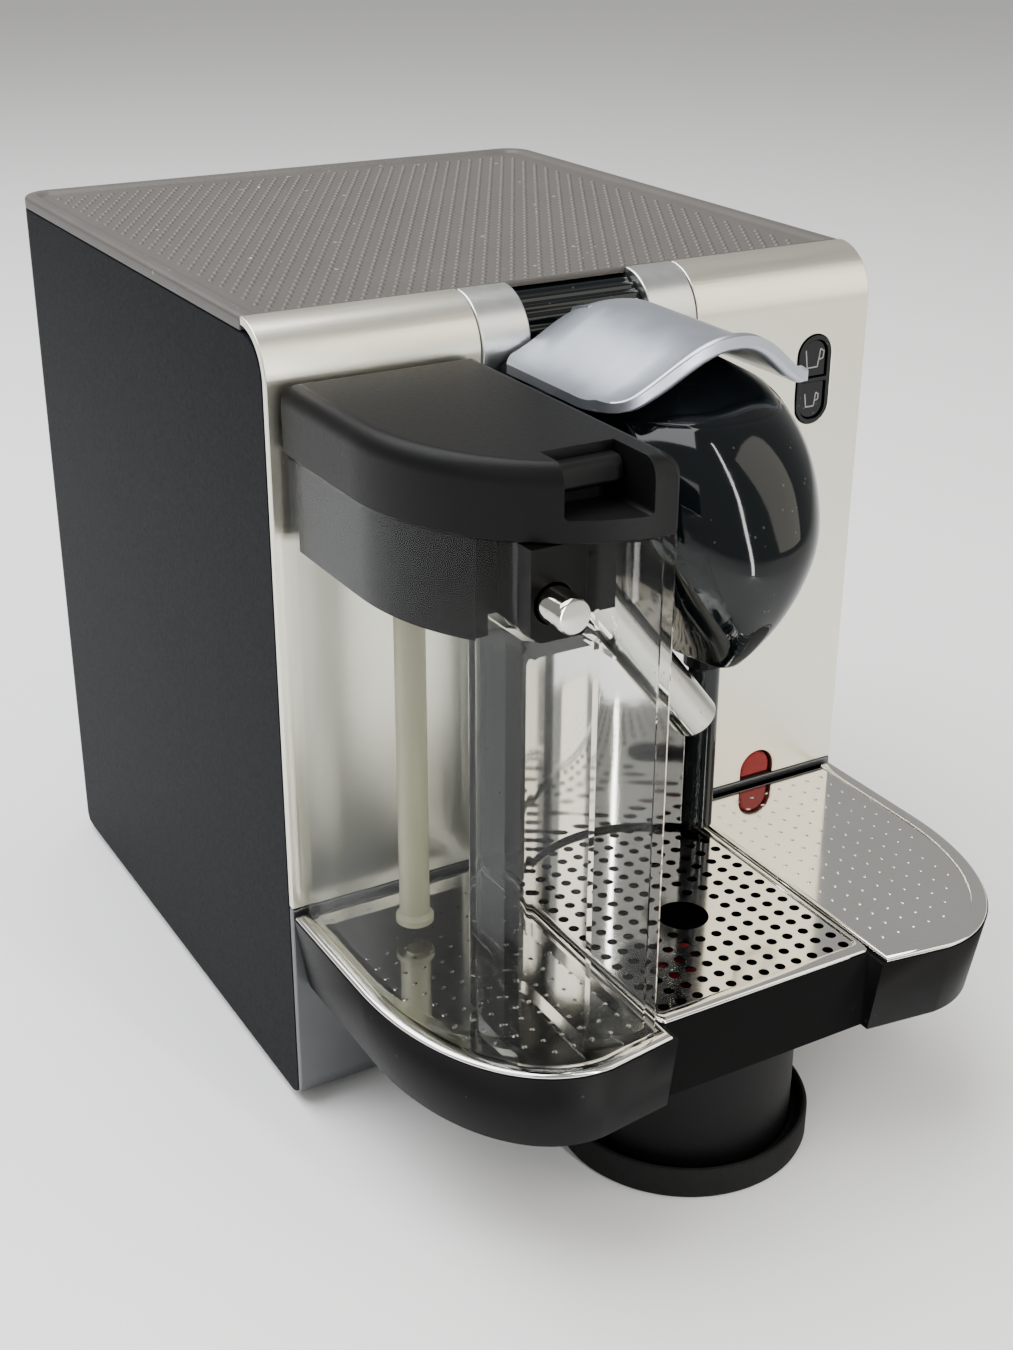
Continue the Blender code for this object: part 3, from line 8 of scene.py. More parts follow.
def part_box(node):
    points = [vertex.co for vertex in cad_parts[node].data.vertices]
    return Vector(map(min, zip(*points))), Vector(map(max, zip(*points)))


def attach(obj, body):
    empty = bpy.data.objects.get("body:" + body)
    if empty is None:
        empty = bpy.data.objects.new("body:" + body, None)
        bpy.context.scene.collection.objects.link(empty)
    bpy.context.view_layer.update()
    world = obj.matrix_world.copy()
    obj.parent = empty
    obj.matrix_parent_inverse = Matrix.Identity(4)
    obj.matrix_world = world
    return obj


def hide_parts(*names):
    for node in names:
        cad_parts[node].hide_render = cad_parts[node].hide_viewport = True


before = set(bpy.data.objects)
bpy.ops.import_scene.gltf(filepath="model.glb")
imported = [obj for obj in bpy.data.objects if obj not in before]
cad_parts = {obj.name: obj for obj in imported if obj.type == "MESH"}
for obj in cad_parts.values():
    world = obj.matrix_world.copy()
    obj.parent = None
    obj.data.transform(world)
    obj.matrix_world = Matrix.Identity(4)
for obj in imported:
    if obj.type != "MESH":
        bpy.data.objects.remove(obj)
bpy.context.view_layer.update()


# ---------------------------------------- casing panels
# Two steel side walls are folded round the back corners and powder coated in a fine
# blue-black texture.  The heel and the base are satin black mouldings.  All are screwed
# to the chassis, their edges just broken.
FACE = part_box("front_fascia")[0].y  # shapes are worked out from the fascia's face, then moved
GAP = 0.0003  # clearance between neighbouring pieces
FAR = 1  # a reach well past the machine, for cutting tools
WELD = 0.000002  # points nearer than this are one
FLAT, BROKEN, SHARP = radians(0.4), radians(32), radians(38)


class Wire:
    """One output inside a finish; sums on it add Math nodes."""

    def __init__(self, finish, socket):
        self.finish, self.socket = finish, socket

    def maths(self, operation, first, second):
        return self.finish.node("Math", {"operation": operation}, {0: first, 1: second})

    def __add__(self, other):
        return self.maths("ADD", self, other)

    def __mul__(self, other):
        return self.maths("MULTIPLY", self, other)

    def __rsub__(self, other):
        return self.maths("SUBTRACT", other, self)

    __radd__, __rmul__ = __add__, __mul__

    def over(self, limit):
        return self.maths("GREATER_THAN", self, limit)


class Finish:
    """One material of the machine and the nodes behind it."""

    def __init__(self, name, **constants):
        self.material = bpy.data.materials.new(name)
        self.material.use_nodes = True
        self.tree = self.material.node_tree
        self.shader = self.tree.nodes["Principled BSDF"]
        for key, value in constants.items():
            self.shader.inputs[key.replace("_", " ")].default_value = value

    def feed(self, socket, value):
        if isinstance(value, Wire):
            self.tree.links.new(value.socket, socket)
        else:
            socket.default_value = value

    def node(self, kind, settings, inputs, out=0):
        item = self.tree.nodes.new("ShaderNode" + kind)
        for key, value in settings.items():
            setattr(item, key, value)
        for key, value in inputs.items():
            self.feed(item.inputs[key], value)
        return Wire(self, item.outputs[out])

    def place(self, stretch=(1, 1, 1)):
        here = self.node("TexCoord", {}, {}, "Object")
        return self.node("Mapping", {}, {"Vector": here, "Scale": stretch})

    def cloud(self, scale, detail, stretch=(1, 1, 1)):
        """Noise from 0 to 1; scale is in features per metre."""
        return self.node("TexNoise", {}, {"Vector": self.place(stretch), "Scale": scale,
                                          "Detail": detail, "Roughness": 0.6})

    def dust(self, scale, share):
        """1 inside a few scattered specks, 0 elsewhere."""
        cells = self.node("TexVoronoi", {}, {"Vector": self.place(), "Scale": scale}, "Distance")
        chance = self.cloud(scale * 0.37, 1.0)
        speck = 0.16
        return (speck - cells).over(0.0) * chance.over(share)

    def mix(self, factor, first, second):
        return self.node("Mix", {"data_type": "RGBA"}, {0: factor, 6: first, 7: second}, 2)

    def colour(self, value):
        self.feed(self.shader.inputs["Base Color"], value)

    def rough(self, value):
        self.feed(self.shader.inputs["Roughness"], value)

    def relief(self, height, depth):
        """A fine surface relief; depth in metres."""
        bump = self.node("Bump", {}, {"Height": height, "Distance": depth, "Strength": 1.0})
        self.feed(self.shader.inputs["Normal"], bump)

    def mottled(self, scale, detail, first, second):
        """A colour that drifts between two over the surface."""
        self.colour(self.mix(self.cloud(scale, detail), first, second))

    def worn(self, least, spread, scale, detail):
        """A roughness that drifts upwards from the least."""
        self.rough(least + self.cloud(scale, detail) * spread)


def rounded(points, radii, steps=12):
    """An outline whose corners are turned to arcs of the given radii."""
    outline = []
    for i, (corner, radius) in enumerate(zip(points, radii)):
        here = Vector(corner)
        if radius <= 0:
            outline.append(tuple(here))
            continue
        before = (Vector(points[i - 1]) - here).normalized()
        after = (Vector(points[(i + 1) % len(points)]) - here).normalized()
        half = before.angle(after) / 2
        centre = here + (before + after).normalized() * (radius / sin(half))
        start = here + before * (radius / tan(half)) - centre
        sweep = start.angle_signed(here + after * (radius / tan(half)) - centre)
        for step in range(steps + 1):
            outline.append(tuple(centre + Matrix.Rotation(-sweep * step / steps, 2) @ start))
    return outline


def ease(share):
    """0 to 1, slow at both ends."""
    return 0.5 - 0.5 * cos(pi * share)


def skin(rings):
    """A closed surface over rings of points."""
    shape = bmesh.new()
    rows = [[shape.verts.new(point) for point in ring] for ring in rings]
    count = len(rows[0])
    for low, high in zip(rows, rows[1:]):
        for i in range(count):
            j = (i + 1) % count
            shape.faces.new((low[i], low[j], high[j], high[i]))
    shape.faces.new(list(reversed(rows[0])))
    shape.faces.new(rows[-1])
    bmesh.ops.recalc_face_normals(shape, faces=shape.faces)
    return shape


def along(axis, pair, level):
    """A point of an outline that lies across an axis."""
    return {"X": (level, pair[0], pair[1]), "Y": (pair[0], level, pair[1]),
            "Z": (pair[0], pair[1], level)}[axis]


def bar(outline, low, high, axis="Z", end=None):
    """An outline pushed along an axis, to another outline if one is given."""
    return skin([[along(axis, pair, low) for pair in outline],
                 [along(axis, pair, high) for pair in end or outline]])


def crate(low, high):
    return bar([(low[0], low[1]), (high[0], low[1]), (high[0], high[1]), (low[0], high[1])],
               low[2], high[2])


def disc(centre, radius, sides=48):
    return [(centre[0] + radius * cos(2 * pi * i / sides),
             centre[1] + radius * sin(2 * pi * i / sides)) for i in range(sides)]


def turned(axis, centre, profile, sides=64):
    """A shape turned on a lathe; the profile is (radius, level) from end to end."""
    return skin([[along(axis, pair, level) for pair in disc(centre, radius, sides)]
                 for radius, level in profile])


def placed(name, data):
    item = bpy.data.objects.new(name, data)
    bpy.context.scene.collection.objects.link(item)
    return item


def as_object(shape):
    mesh = bpy.data.meshes.new("blank")
    shape.to_mesh(mesh)
    shape.free()
    return placed("blank", mesh)


def worked(item):
    """The object's mesh with its modifiers run; the object is used up."""
    graph = bpy.context.evaluated_depsgraph_get()
    mesh = bpy.data.meshes.new_from_object(item.evaluated_get(graph))
    bpy.data.objects.remove(item, do_unlink=True)
    return mesh


def opened(mesh):
    """A mesh as an editable shape; the mesh is used up."""
    shape = bmesh.new()
    shape.from_mesh(mesh)
    bpy.data.meshes.remove(mesh)
    return shape


def carved(shape, *tools, operation="DIFFERENCE"):
    """The shape less each tool in turn, or joined to it with UNION."""
    for tool in tools:
        item, cutter = as_object(shape), as_object(tool)
        modifier = item.modifiers.new("carve", "BOOLEAN")
        modifier.operation, modifier.solver, modifier.object = operation, "EXACT", cutter
        shape = opened(worked(item))
        bpy.data.objects.remove(cutter, do_unlink=True)
    return shape


def piece(name, shape, finish, body, stands_for=(), edge=0.0, steps=3, shift=True):
    """A finished piece of the machine on its body, with its sharp edges broken by edge."""
    if shift:
        bmesh.ops.translate(shape, verts=shape.verts, vec=(0, FACE, 0))
    bmesh.ops.remove_doubles(shape, verts=shape.verts, dist=WELD)
    bmesh.ops.dissolve_limit(shape, angle_limit=FLAT, verts=shape.verts, edges=shape.edges)
    item = as_object(shape)
    item.data.shade_smooth()
    if edge > 0:
        bevel = item.modifiers.new("edge", "BEVEL")
        bevel.width, bevel.segments, bevel.angle_limit = edge, steps, BROKEN
        weigh = item.modifiers.new("weigh", "WEIGHTED_NORMAL")
        weigh.keep_sharp = False
        item = placed(name, worked(item))
    else:
        item.data.set_sharp_from_angle(angle=SHARP)
    item.name = item.data.name = name
    item.data.materials.clear()
    item.data.materials.append(finish.material)
    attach(item, body)
    if stands_for:
        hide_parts(*stands_for)
    return item


def drawn(node):
    """A copy of a node's drawn shape, ready to be worked on."""
    shape = bmesh.new()
    shape.from_mesh(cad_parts[node].data)
    bmesh.ops.remove_doubles(shape, verts=shape.verts, dist=WELD)
    return shape


def dressed(finish, *nodes):
    """Puts a finish on nodes whose drawn shape stays."""
    for name in nodes:
        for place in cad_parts[name].material_slots:
            place.material = finish.material


def eased(name, node, finish, body, edge):
    """A piece with its drawn shape and broken edges."""
    piece(name, drawn(node), finish, body, [node], edge=edge, shift=False)


coat = Finish("powder_coat", Base_Color=(0.0016, 0.0028, 0.0046, 1), Roughness=0.5,
              Specular_IOR_Level=0.04)
coat.mottled(24, 4.0, (0.0010, 0.0020, 0.0034, 1), (0.0020, 0.0034, 0.0054, 1))
coat.worn(0.44, 0.16, 900, 2.0)
coat.relief(coat.cloud(2600, 2.0), 0.00006)
black = Finish("satin_moulding", Base_Color=(0.003, 0.003, 0.003, 1), Roughness=0.42,
               Specular_IOR_Level=0.13)
black.colour(black.mix(black.dust(330, 0.70), (0.0030, 0.0030, 0.0032, 1), (0.025, 0.025, 0.023, 1)))
black.worn(0.36, 0.14, 700, 3.0)
black.relief(black.cloud(3400, 2.0), 0.00005)
for name in ("left_side_panel", "right_side_panel"):
    eased(name.replace("_panel", "_wall"), name, coat, "casing", 0.0005)
for name in ("heel_panel", "base_plate"):
    eased(name + "_skin", name, black, "casing", 0.0004)


# ---------------------------------------- rear wall and tank
# The back is a moulded wall round a smoky clear water tank that slides out to the rear.
# The tank is injection moulded, its lid a loose black plate with a finger lip.
smoke = Finish("smoky_tank", Base_Color=(0.30, 0.34, 0.37, 1), Roughness=0.1, Alpha=0.55, IOR=1.49)
smoke.worn(0.08, 0.12, 60, 4.0)
seal = Finish("seal_rubber", Base_Color=(0.006, 0.006, 0.006, 1), Roughness=0.8,
              Specular_IOR_Level=0.2)
seal.worn(0.70, 0.25, 500, 3.0)
seal.relief(seal.cloud(1800, 3.0), 0.00008)
eased("rear_wall", "rear_panel", black, "casing", 0.0005)
eased("tank_shell", "water_tank", smoke, "tank", 0.0006)
eased("tank_cap", "tank_lid", black, "tank", 0.0008)
dressed(seal, "tank_valve", "cord_gland", "foot_front_left", "foot_front_right", "foot_back_left",
        "foot_back_right", "pump_cradle_front", "pump_cradle_rear")
grey = Finish("grey_moulding", Base_Color=(0.18, 0.18, 0.18, 1), Roughness=0.6)
grey.worn(0.52, 0.16, 800, 3.0)
grey.mottled(90, 3.0, (0.16, 0.16, 0.165, 1), (0.20, 0.20, 0.20, 1))
dressed(grey, "chassis", "tank_coupling", "brew_piston", "brew_chamber")
cast = Finish("cast_alloy_bare", Base_Color=(0.55, 0.55, 0.55, 1), Metallic=1.0, Roughness=0.45)
cast.worn(0.36, 0.25, 1200, 3.0)
cast.relief(cast.cloud(900, 4.0), 0.0001)
dressed(cast, "pump", "thermoblock", "hinge_pin", "screw_front_left", "screw_front_right",
        "screw_back_left", "screw_back_right")
lacquer = Finish("board_lacquer", Base_Color=(0.02, 0.12, 0.05, 1), Roughness=0.3)
tracks = lacquer.node("TexWave", {"wave_type": "BANDS"},
                      {"Vector": lacquer.place(), "Scale": 220.0, "Distortion": 9.0}, 1)
lacquer.colour(lacquer.mix(tracks, (0.015, 0.10, 0.04, 1), (0.03, 0.16, 0.07, 1)))
dressed(lacquer, "circuit_board")


# ---------------------------------------- top cover
# A moulded cup shelf in warm grey with a raised, rounded border on three sides and rows
# of small raised studs that let air under the cups.  It drops in behind the rolled front.
cover_low, cover_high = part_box("top_cover")
cover_front = cover_low.y - FACE
cover_back = cover_high.y - FACE
cover_half = cover_high.x
front_share, cover_corner, shelf_corner = 0.22, 0.011, 0.0035


def cover_ring(inset, level):
    """The cover's outline drawn in; its front edge has only a narrow border."""
    half, back, front = cover_half - inset, cover_back - inset, cover_front + inset * front_share
    round_back, round_front = max(cover_corner - inset, shelf_corner), 0.0004 + inset * 0.1
    outline = rounded([(-half, front), (half, front), (half, back), (-half, back)],
                      [round_front, round_front, round_back, round_back], 10)
    return [(x, y, level) for x, y in outline]


edge_in, edge_down = 0.0018, 0.0014
slope_start, slope_wide, shelf_drop = 0.0036, 0.0034, 0.0013
cover_section = [(0.0, cover_low.z)]
for degrees in range(0, 91, 15):
    turn = radians(degrees)
    cover_section.append((edge_in * (1 - cos(turn)),
                          cover_high.z - edge_down * (1 - sin(turn))))
for step in range(9):
    share = step / 8
    cover_section.append((slope_start + slope_wide * share,
                          cover_high.z - shelf_drop * ease(share)))
shelf = skin([cover_ring(inset, level) for inset, level in cover_section])
hinge_end = 0.0375
seat_back, seat_low, seat_high = 0.0329, 0.20, 0.2537
shelf = carved(shelf, crate((-hinge_end, 0.0, seat_low), (hinge_end, seat_back, seat_high)))
warm = Finish("cover_moulding", Base_Color=(0.075, 0.068, 0.062, 1), Roughness=0.5)
warm_base = warm.mix(warm.cloud(30, 5.0), (0.056, 0.050, 0.045, 1), (0.076, 0.069, 0.061, 1))
warm.colour(warm.mix(warm.dust(230, 0.66), warm_base, (0.30, 0.27, 0.20, 1)))
warm.worn(0.34, 0.22, 60, 5.0)
warm.relief(warm.cloud(1500, 3.0), 0.00008)
piece("cover_shelf", shelf, warm, "casing", ["top_cover"])


def on_points(points, finish, sizes, sides=8):
    """Small round studs or plugs set on points by a node tree, as one plain mesh."""
    tree = bpy.data.node_groups.new("studs", "GeometryNodeTree")
    tree.interface.new_socket("Points", in_out="INPUT", socket_type="NodeSocketGeometry")
    names = ("Foot radius", "Top radius", "Height")
    keys = [tree.interface.new_socket(name, in_out="INPUT", socket_type="NodeSocketFloat").identifier
            for name in names]
    tree.interface.new_socket("Studs", in_out="OUTPUT", socket_type="NodeSocketGeometry")
    source, sink = tree.nodes.new("NodeGroupInput"), tree.nodes.new("NodeGroupOutput")
    cone, spread, real, paint = (tree.nodes.new("GeometryNode" + kind) for kind in (
        "MeshCone", "InstanceOnPoints", "RealizeInstances", "SetMaterial"))
    cone.inputs["Vertices"].default_value = sides
    paint.inputs["Material"].default_value = finish.material
    for out, into in ((source.outputs["Points"], spread.inputs["Points"]),
                      (source.outputs["Foot radius"], cone.inputs["Radius Bottom"]),
                      (source.outputs["Top radius"], cone.inputs["Radius Top"]),
                      (source.outputs["Height"], cone.inputs["Depth"]),
                      (cone.outputs["Mesh"], spread.inputs["Instance"]),
                      (spread.outputs["Instances"], real.inputs["Geometry"]),
                      (real.outputs["Geometry"], paint.inputs["Geometry"]),
                      (paint.outputs["Geometry"], sink.inputs["Studs"])):
        tree.links.new(out, into)
    mesh = bpy.data.meshes.new("points")
    mesh.from_pydata([Vector(point) for point in points], [], [])
    item = placed("points", mesh)
    modifier = item.modifiers.new("studs", "NODES")
    modifier.node_group = tree
    for key, size in zip(keys, sizes):
        modifier[key] = size
    return opened(worked(item))


stud_pitch, row_pitch, border, first_row = 0.0049, 0.0042, 0.0100, 0.006
stud_foot, stud_top, stud_high = 0.00105, 0.00055, 0.0005
stud_level = cover_high.z - shelf_drop
columns = int((cover_half - border) / stud_pitch)
rows = int((cover_back - border - cover_front - first_row) / row_pitch)
stud_places = [((column + 0.5 * (row % 2)) * stud_pitch, cover_front + first_row + row * row_pitch,
                stud_level) for row in range(rows) for column in range(-columns, columns)]
piece("cover_studs", on_points(stud_places, warm, (stud_foot, stud_top, stud_high)), warm, "casing")


# ---------------------------------------- steel front
# One sheet of satin brushed steel, rolled back over the top edge and pierced for the
# hinge, the brew head, the cup bay, the buttons and the steam outlet.  The panel under the
# tray is a moulding painted satin silver; its dark tone is painted shade from the tray above.
fascia_low, fascia_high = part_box("front_fascia")
roll = 0.0160
sheet_thick = 0.0025
casing_half = fascia_high.x
casing_top = fascia_high.z
outer_line = rounded([(0.0, fascia_low.z), (0.0, casing_top), (roll * 2, casing_top)],
                     [0.0, roll, 0.0], 28)[:-1]
inner_line = rounded([(roll * 2, casing_top - sheet_thick), (sheet_thick, casing_top - sheet_thick),
                      (sheet_thick, fascia_low.z)], [0.0, roll - sheet_thick, 0.0], 28)[1:]
fascia = bar(outer_line + inner_line, -casing_half, casing_half, "X")
hinge_z = casing_top - roll


def pill(x, bottom, top, radius, steps=16):
    """A slot with round ends, as (x, z)."""
    turns = [pi * i / steps for i in range(steps + 1)]
    return ([(x + radius * cos(a), top - radius + radius * sin(a)) for a in turns]
            + [(x - radius * cos(a), bottom + radius - radius * sin(a)) for a in turns])


def arch(x, radius, bottom, top, steps=20):
    """A flat-bottomed shape with a round top, as (x, z)."""
    return [(x - radius, bottom), (x + radius, bottom)] + [
        (x + radius * cos(pi * i / steps), top - radius + radius * sin(pi * i / steps))
        for i in range(steps + 1)]


def span(low, high):
    """Middle and half width."""
    return (low + high) / 2, (high - low) / 2


bezel_low, bezel_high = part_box("button_bezel")
dial_low, dial_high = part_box("milk_button")
power_low, power_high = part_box("power_button")
dial_x, dial_radius = span(dial_low.x, dial_high.x)
dial = (dial_x, span(dial_low.z, dial_high.z)[0])
pill_x, pill_radius = span(bezel_low.x, bezel_high.x)
power_x, power_radius = span(power_low.x, power_high.x)
frame_low, frame_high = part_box("cup_bay_frame")
bay_half, slot_half, slot_lift, key_gap, overshoot = 0.0310, 0.0200, 0.010, 0.0006, 0.01
steam_port, steam_radius = (-0.0720, 0.2080), 0.0053
fascia = carved(
    fascia,
    crate((-hinge_end, -FAR, hinge_z - roll - GAP), (hinge_end, FAR, FAR)),
    crate((-bay_half, -FAR, -FAR), (bay_half, FAR, frame_high.z - sheet_thick)),
    crate((-slot_half, -FAR, frame_high.z + slot_lift),
          (slot_half, FAR, hinge_z - roll + sheet_thick)),
    bar(pill(pill_x, bezel_low.z - GAP, bezel_high.z + GAP, pill_radius + GAP), -FAR, FAR, "Y"),
    bar(disc(dial, dial_radius + key_gap), -FAR, FAR, "Y"),
    bar(arch(power_x, power_radius + key_gap, fascia_low.z - overshoot, power_high.z + key_gap),
        -FAR, FAR, "Y"),
    bar(disc(steam_port, steam_radius), -FAR, FAR, "Y"))
steel = Finish("satin_steel_sheet", Base_Color=(0.76, 0.73, 0.61, 1), Metallic=1.0, Roughness=0.3)
brushing = steel.cloud(60, 6.0, stretch=(0.35, 1, 22))
steel.mottled(9, 4.0, (0.72, 0.695, 0.585, 1), (0.80, 0.775, 0.665, 1))
steel.rough(0.24 + brushing * 0.14)
steel.relief(brushing, 0.00004)
piece("steel_front", fascia, steel, "casing", ["front_fascia"], edge=0.0004)
# The silver paint is given a dark tone: painted shade for the shadow the tray casts on this panel.
shade_darkened_silver = Finish("satin_silver_with_painted_shade", Base_Color=(0.13, 0.135, 0.14, 1), Metallic=0.9, Roughness=0.42)
shade_darkened_silver.worn(0.36, 0.14, 420, 4.0)
shade_darkened_silver.mottled(35, 4.0, (0.11, 0.115, 0.12, 1), (0.15, 0.155, 0.16, 1))
eased("lower_front", "lower_front_panel", shade_darkened_silver, "casing", 0.0004)


# ---------------------------------------- hinge and lever
# Two silver barrels carry a pin; between them a gloss black fluted drum turns with the
# lever.  The lever is a cast arch, painted satin silver, with a rolled bead at its lip.
barrel_end, barrel_top = 0.0372, 0.0134
barrel_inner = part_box("hinge_barrel_right")[0].x
hinge = (roll, hinge_z)
barrel_paint = Finish("barrel_silver", Base_Color=(0.60, 0.61, 0.60, 1), Metallic=1.0, Roughness=0.3)
barrel_paint.worn(0.25, 0.12, 300, 4.0)
barrel_paint.mottled(40, 4.0, (0.56, 0.57, 0.57, 1), (0.66, 0.665, 0.65, 1))
for side, name in ((-1, "left"), (1, "right")):
    section = [(roll, side * barrel_inner), (roll, side * barrel_end)][::side]
    barrel = turned("X", hinge, section, 96)
    barrel = carved(barrel, crate((-FAR, roll, hinge_z + barrel_top), (FAR, FAR, FAR)))
    piece(f"barrel_{name}", barrel, barrel_paint, "casing", [f"hinge_barrel_{name}"],
          edge=0.0008)

gloss = Finish("piano_black", Base_Color=(0.0020, 0.0030, 0.0036, 1), Roughness=0.06,
               Specular_IOR_Level=0.30)
scuffs = gloss.cloud(38, 6.0, stretch=(1, 1, 6))
gloss.colour(gloss.mix(gloss.dust(420, 0.60), (0.0018, 0.0030, 0.0036, 1), (0.03, 0.035, 0.035, 1)))
gloss.rough(0.035 + scuffs * scuffs * 0.12)
gloss.relief(gloss.cloud(260, 3.0), 0.000008)
drum_end, drum_radius, flutes, flute_deep, flute_steps = 0.0206, 0.0134, 22, 0.0007, 8
flute = []
for i in range(flutes * flute_steps):
    turn = 2 * pi * i / (flutes * flute_steps)
    reach = drum_radius - flute_deep * (0.5 - 0.5 * cos(turn * flutes)) ** 1.6
    flute.append((hinge[0] + reach * cos(turn), hinge[1] + reach * sin(turn)))
piece("fluted_drum", bar(flute, -drum_end + GAP, drum_end - GAP, "X"), gloss, "lever",
      ["hinge_drum"])

lever_half, lever_back, lever_corner, lever_nose = 0.0340, -0.0020, -0.0630, -0.0700
lever_low, lever_rise, lever_thick = hinge_z + 0.0012, 0.0160, 0.0030
corner_start, corner_cut, heel_start, heel_cut = 0.74, 0.0085, 0.84, 0.0060
lever_droop, lip_start, lip_rise, lever_sink = 0.0040, 0.80, 0.0016, 0.0021


def past(value, start):
    """0 up to start, then rising to 1 where value is 1."""
    return min(max(0.0, (value - start) / (1 - start)), 1.0)


def lever_top(forward, across):
    """A point on the lever's upper face; forward is 0 to 1, across is -1 to 1."""
    crown = 0.5 + 0.5 * cos(pi * min(abs(across), 1.0) ** 1.15)
    corner = corner_cut * (1 - sqrt(1 - past(abs(across), corner_start) ** 2.2))
    front = lever_corner + (lever_nose - lever_corner) * crown + corner
    back = lever_back - heel_cut * past(abs(across), heel_start) ** 1.5
    droop = lever_droop * max(0.0, 1 - forward * 4) ** 2
    lip = lip_rise * past(forward, lip_start) ** 2
    height = lever_low + (lever_rise - droop) * crown - lever_sink + lip
    return (lever_half * across, back + (front - back) * forward, height)


strips, bands, crowding = 30, 64, 0.35
across_steps = [sin(pi / 2 * (-1 + 2 * j / bands)) * crowding
                + (-1 + 2 * j / bands) * (1 - crowding) for j in range(bands + 1)]
lever = bmesh.new()
top_grid, low_grid = [], []
for i in range(strips + 1):
    top_grid.append([lever.verts.new(lever_top(i / strips, across)) for across in across_steps])
    low_grid.append([lever.verts.new(Vector(vert.co) - Vector((0, 0, lever_thick - GAP)))
                     for vert in top_grid[-1]])
for i in range(strips):
    for j in range(bands):
        top, low = ((grid[i][j], grid[i + 1][j], grid[i + 1][j + 1], grid[i][j + 1])
                    for grid in (top_grid, low_grid))
        lever.faces.new(top)
        lever.faces.new((low[0], low[3], low[2], low[1]))
rim_top, rim_low = (
    [grid[i][0] for i in range(strips)] + [grid[-1][j] for j in range(bands)]
    + [grid[i][-1] for i in range(strips, 0, -1)] + [grid[0][j] for j in range(bands, 0, -1)]
    for grid in (top_grid, low_grid))
for i in range(len(rim_top)):
    j = (i + 1) % len(rim_top)
    lever.faces.new((rim_top[i], rim_low[i], rim_low[j], rim_top[j]))
bmesh.ops.recalc_face_normals(lever, faces=lever.faces)
bead_radius, bead_half, bead_steps, bead_sides, bead_sink = 0.0023, 0.96, 48, 20, 0.86
end_taper, nudge = 0.55, 0.01
bead = []
for j in range(2 * bead_steps + 1):
    across = sin(pi / 2 * (-1 + j / bead_steps)) * bead_half
    heart = Vector(lever_top(1.0, across))
    run = (Vector(lever_top(1.0, min(across + nudge, 1)))
           - Vector(lever_top(1.0, max(across - nudge, -1))))
    ahead = Vector((run.y, -run.x, 0)).normalized()
    rise = run.normalized().cross(ahead)
    size = bead_radius * (1 - end_taper * abs(across) ** 6)
    heart -= ahead * size + rise * size * (1 if rise.z > 0 else -1) * bead_sink
    turns = [2 * pi * k / bead_sides for k in range(bead_sides)]
    bead.append([tuple(heart + (ahead * cos(turn) + rise * sin(turn)) * size)
                 for turn in turns])
web_half = 0.0085
web = bar([(0.0056, hinge_z - 0.0016), (0.0056, hinge_z + 0.0005), (-0.0018, lever_low + 0.0098),
           (-0.0100, lever_low + 0.0120), (-0.0100, lever_low + 0.0080)], -web_half, web_half, "X")
lever = carved(lever, web, operation="UNION")
lever = carved(lever, bar(disc(hinge, drum_radius + GAP, 64), -FAR, FAR, "X"))
lever_paint = Finish("lever_silver", Base_Color=(0.36, 0.39, 0.44, 1), Metallic=0.85, Roughness=0.3)
smears = lever_paint.cloud(55, 5.0)
lever_paint.colour(lever_paint.mix(smears, (0.33, 0.36, 0.41, 1), (0.45, 0.48, 0.53, 1)))
lever_paint.rough(0.22 + smears * 0.20)
piece("lever_arch", lever, lever_paint, "lever", ["lever"], edge=0.0011, steps=4)
piece("lever_bead", skin(bead), lever_paint, "lever")


# ---------------------------------------- brew head
# A hollow piano black drop moulded in two parts that meet at a fine seam near the top.
# Its side walls run straight until they meet the dome of the nose at a soft crease.
# Each station is a depth under the hinge, a half width and a reach.
head_stations = ((0.0766, 0.0100, 0.0750), (0.0696, 0.0145, 0.0815), (0.0596, 0.0225, 0.0885),
                 (0.0496, 0.0300, 0.0925), (0.0396, 0.0360, 0.0935), (0.0296, 0.0385, 0.0910),
                 (0.0176, 0.0375, 0.0855), (0.0076, 0.0335, 0.0770), (0.0026, 0.0300, 0.0690),
                 (-0.0019, 0.0200, 0.0600))
crease, taper, head_round, head_wall = 0.0760, 0.32, 0.8, 0.0022
seam_depth, seam_sunk, chin_round, chin_high = 0.0056, 0.00025, 0.0012, 0.0015


def between(depth):
    """Half width and reach of the head at a depth under the hinge, on a smooth curve."""
    last = len(head_stations) - 1
    for k in range(last):
        upper, lower = head_stations[k], head_stations[k + 1]
        if depth >= lower[0] or k == last - 1:
            before, after = head_stations[max(k - 1, 0)], head_stations[min(k + 2, last)]
            span = lower[0] - upper[0]
            t = (depth - upper[0]) / span
            values = []
            for c in (1, 2):
                start = (lower[c] - before[c]) / (lower[0] - before[0]) * span
                end = (after[c] - upper[c]) / (after[0] - upper[0]) * span
                values.append((2 * t ** 3 - 3 * t ** 2 + 1) * upper[c]
                              + (t ** 3 - 2 * t ** 2 + t) * start
                              + (3 * t ** 2 - 2 * t ** 3) * lower[c] + (t ** 3 - t ** 2) * end)
            return values


def head_ring(depth, grow, back, turns=44):
    half, reach = (value + grow for value in between(depth))
    ring = []
    for i in range(2 * turns + 1):
        angle = pi * i / (2 * turns)
        across, forward = cos(angle), reach * sin(angle) ** head_round
        width = half * min(1 - taper * forward / crease, abs(across) ** head_round)
        ring.append((copysign(width, across), -GAP - forward * (reach - GAP) / reach,
                     hinge_z - depth))
    if back > 0:
        ring = [(half, back, ring[0][2])] + ring + [(-half, back, ring[0][2])]
    return ring


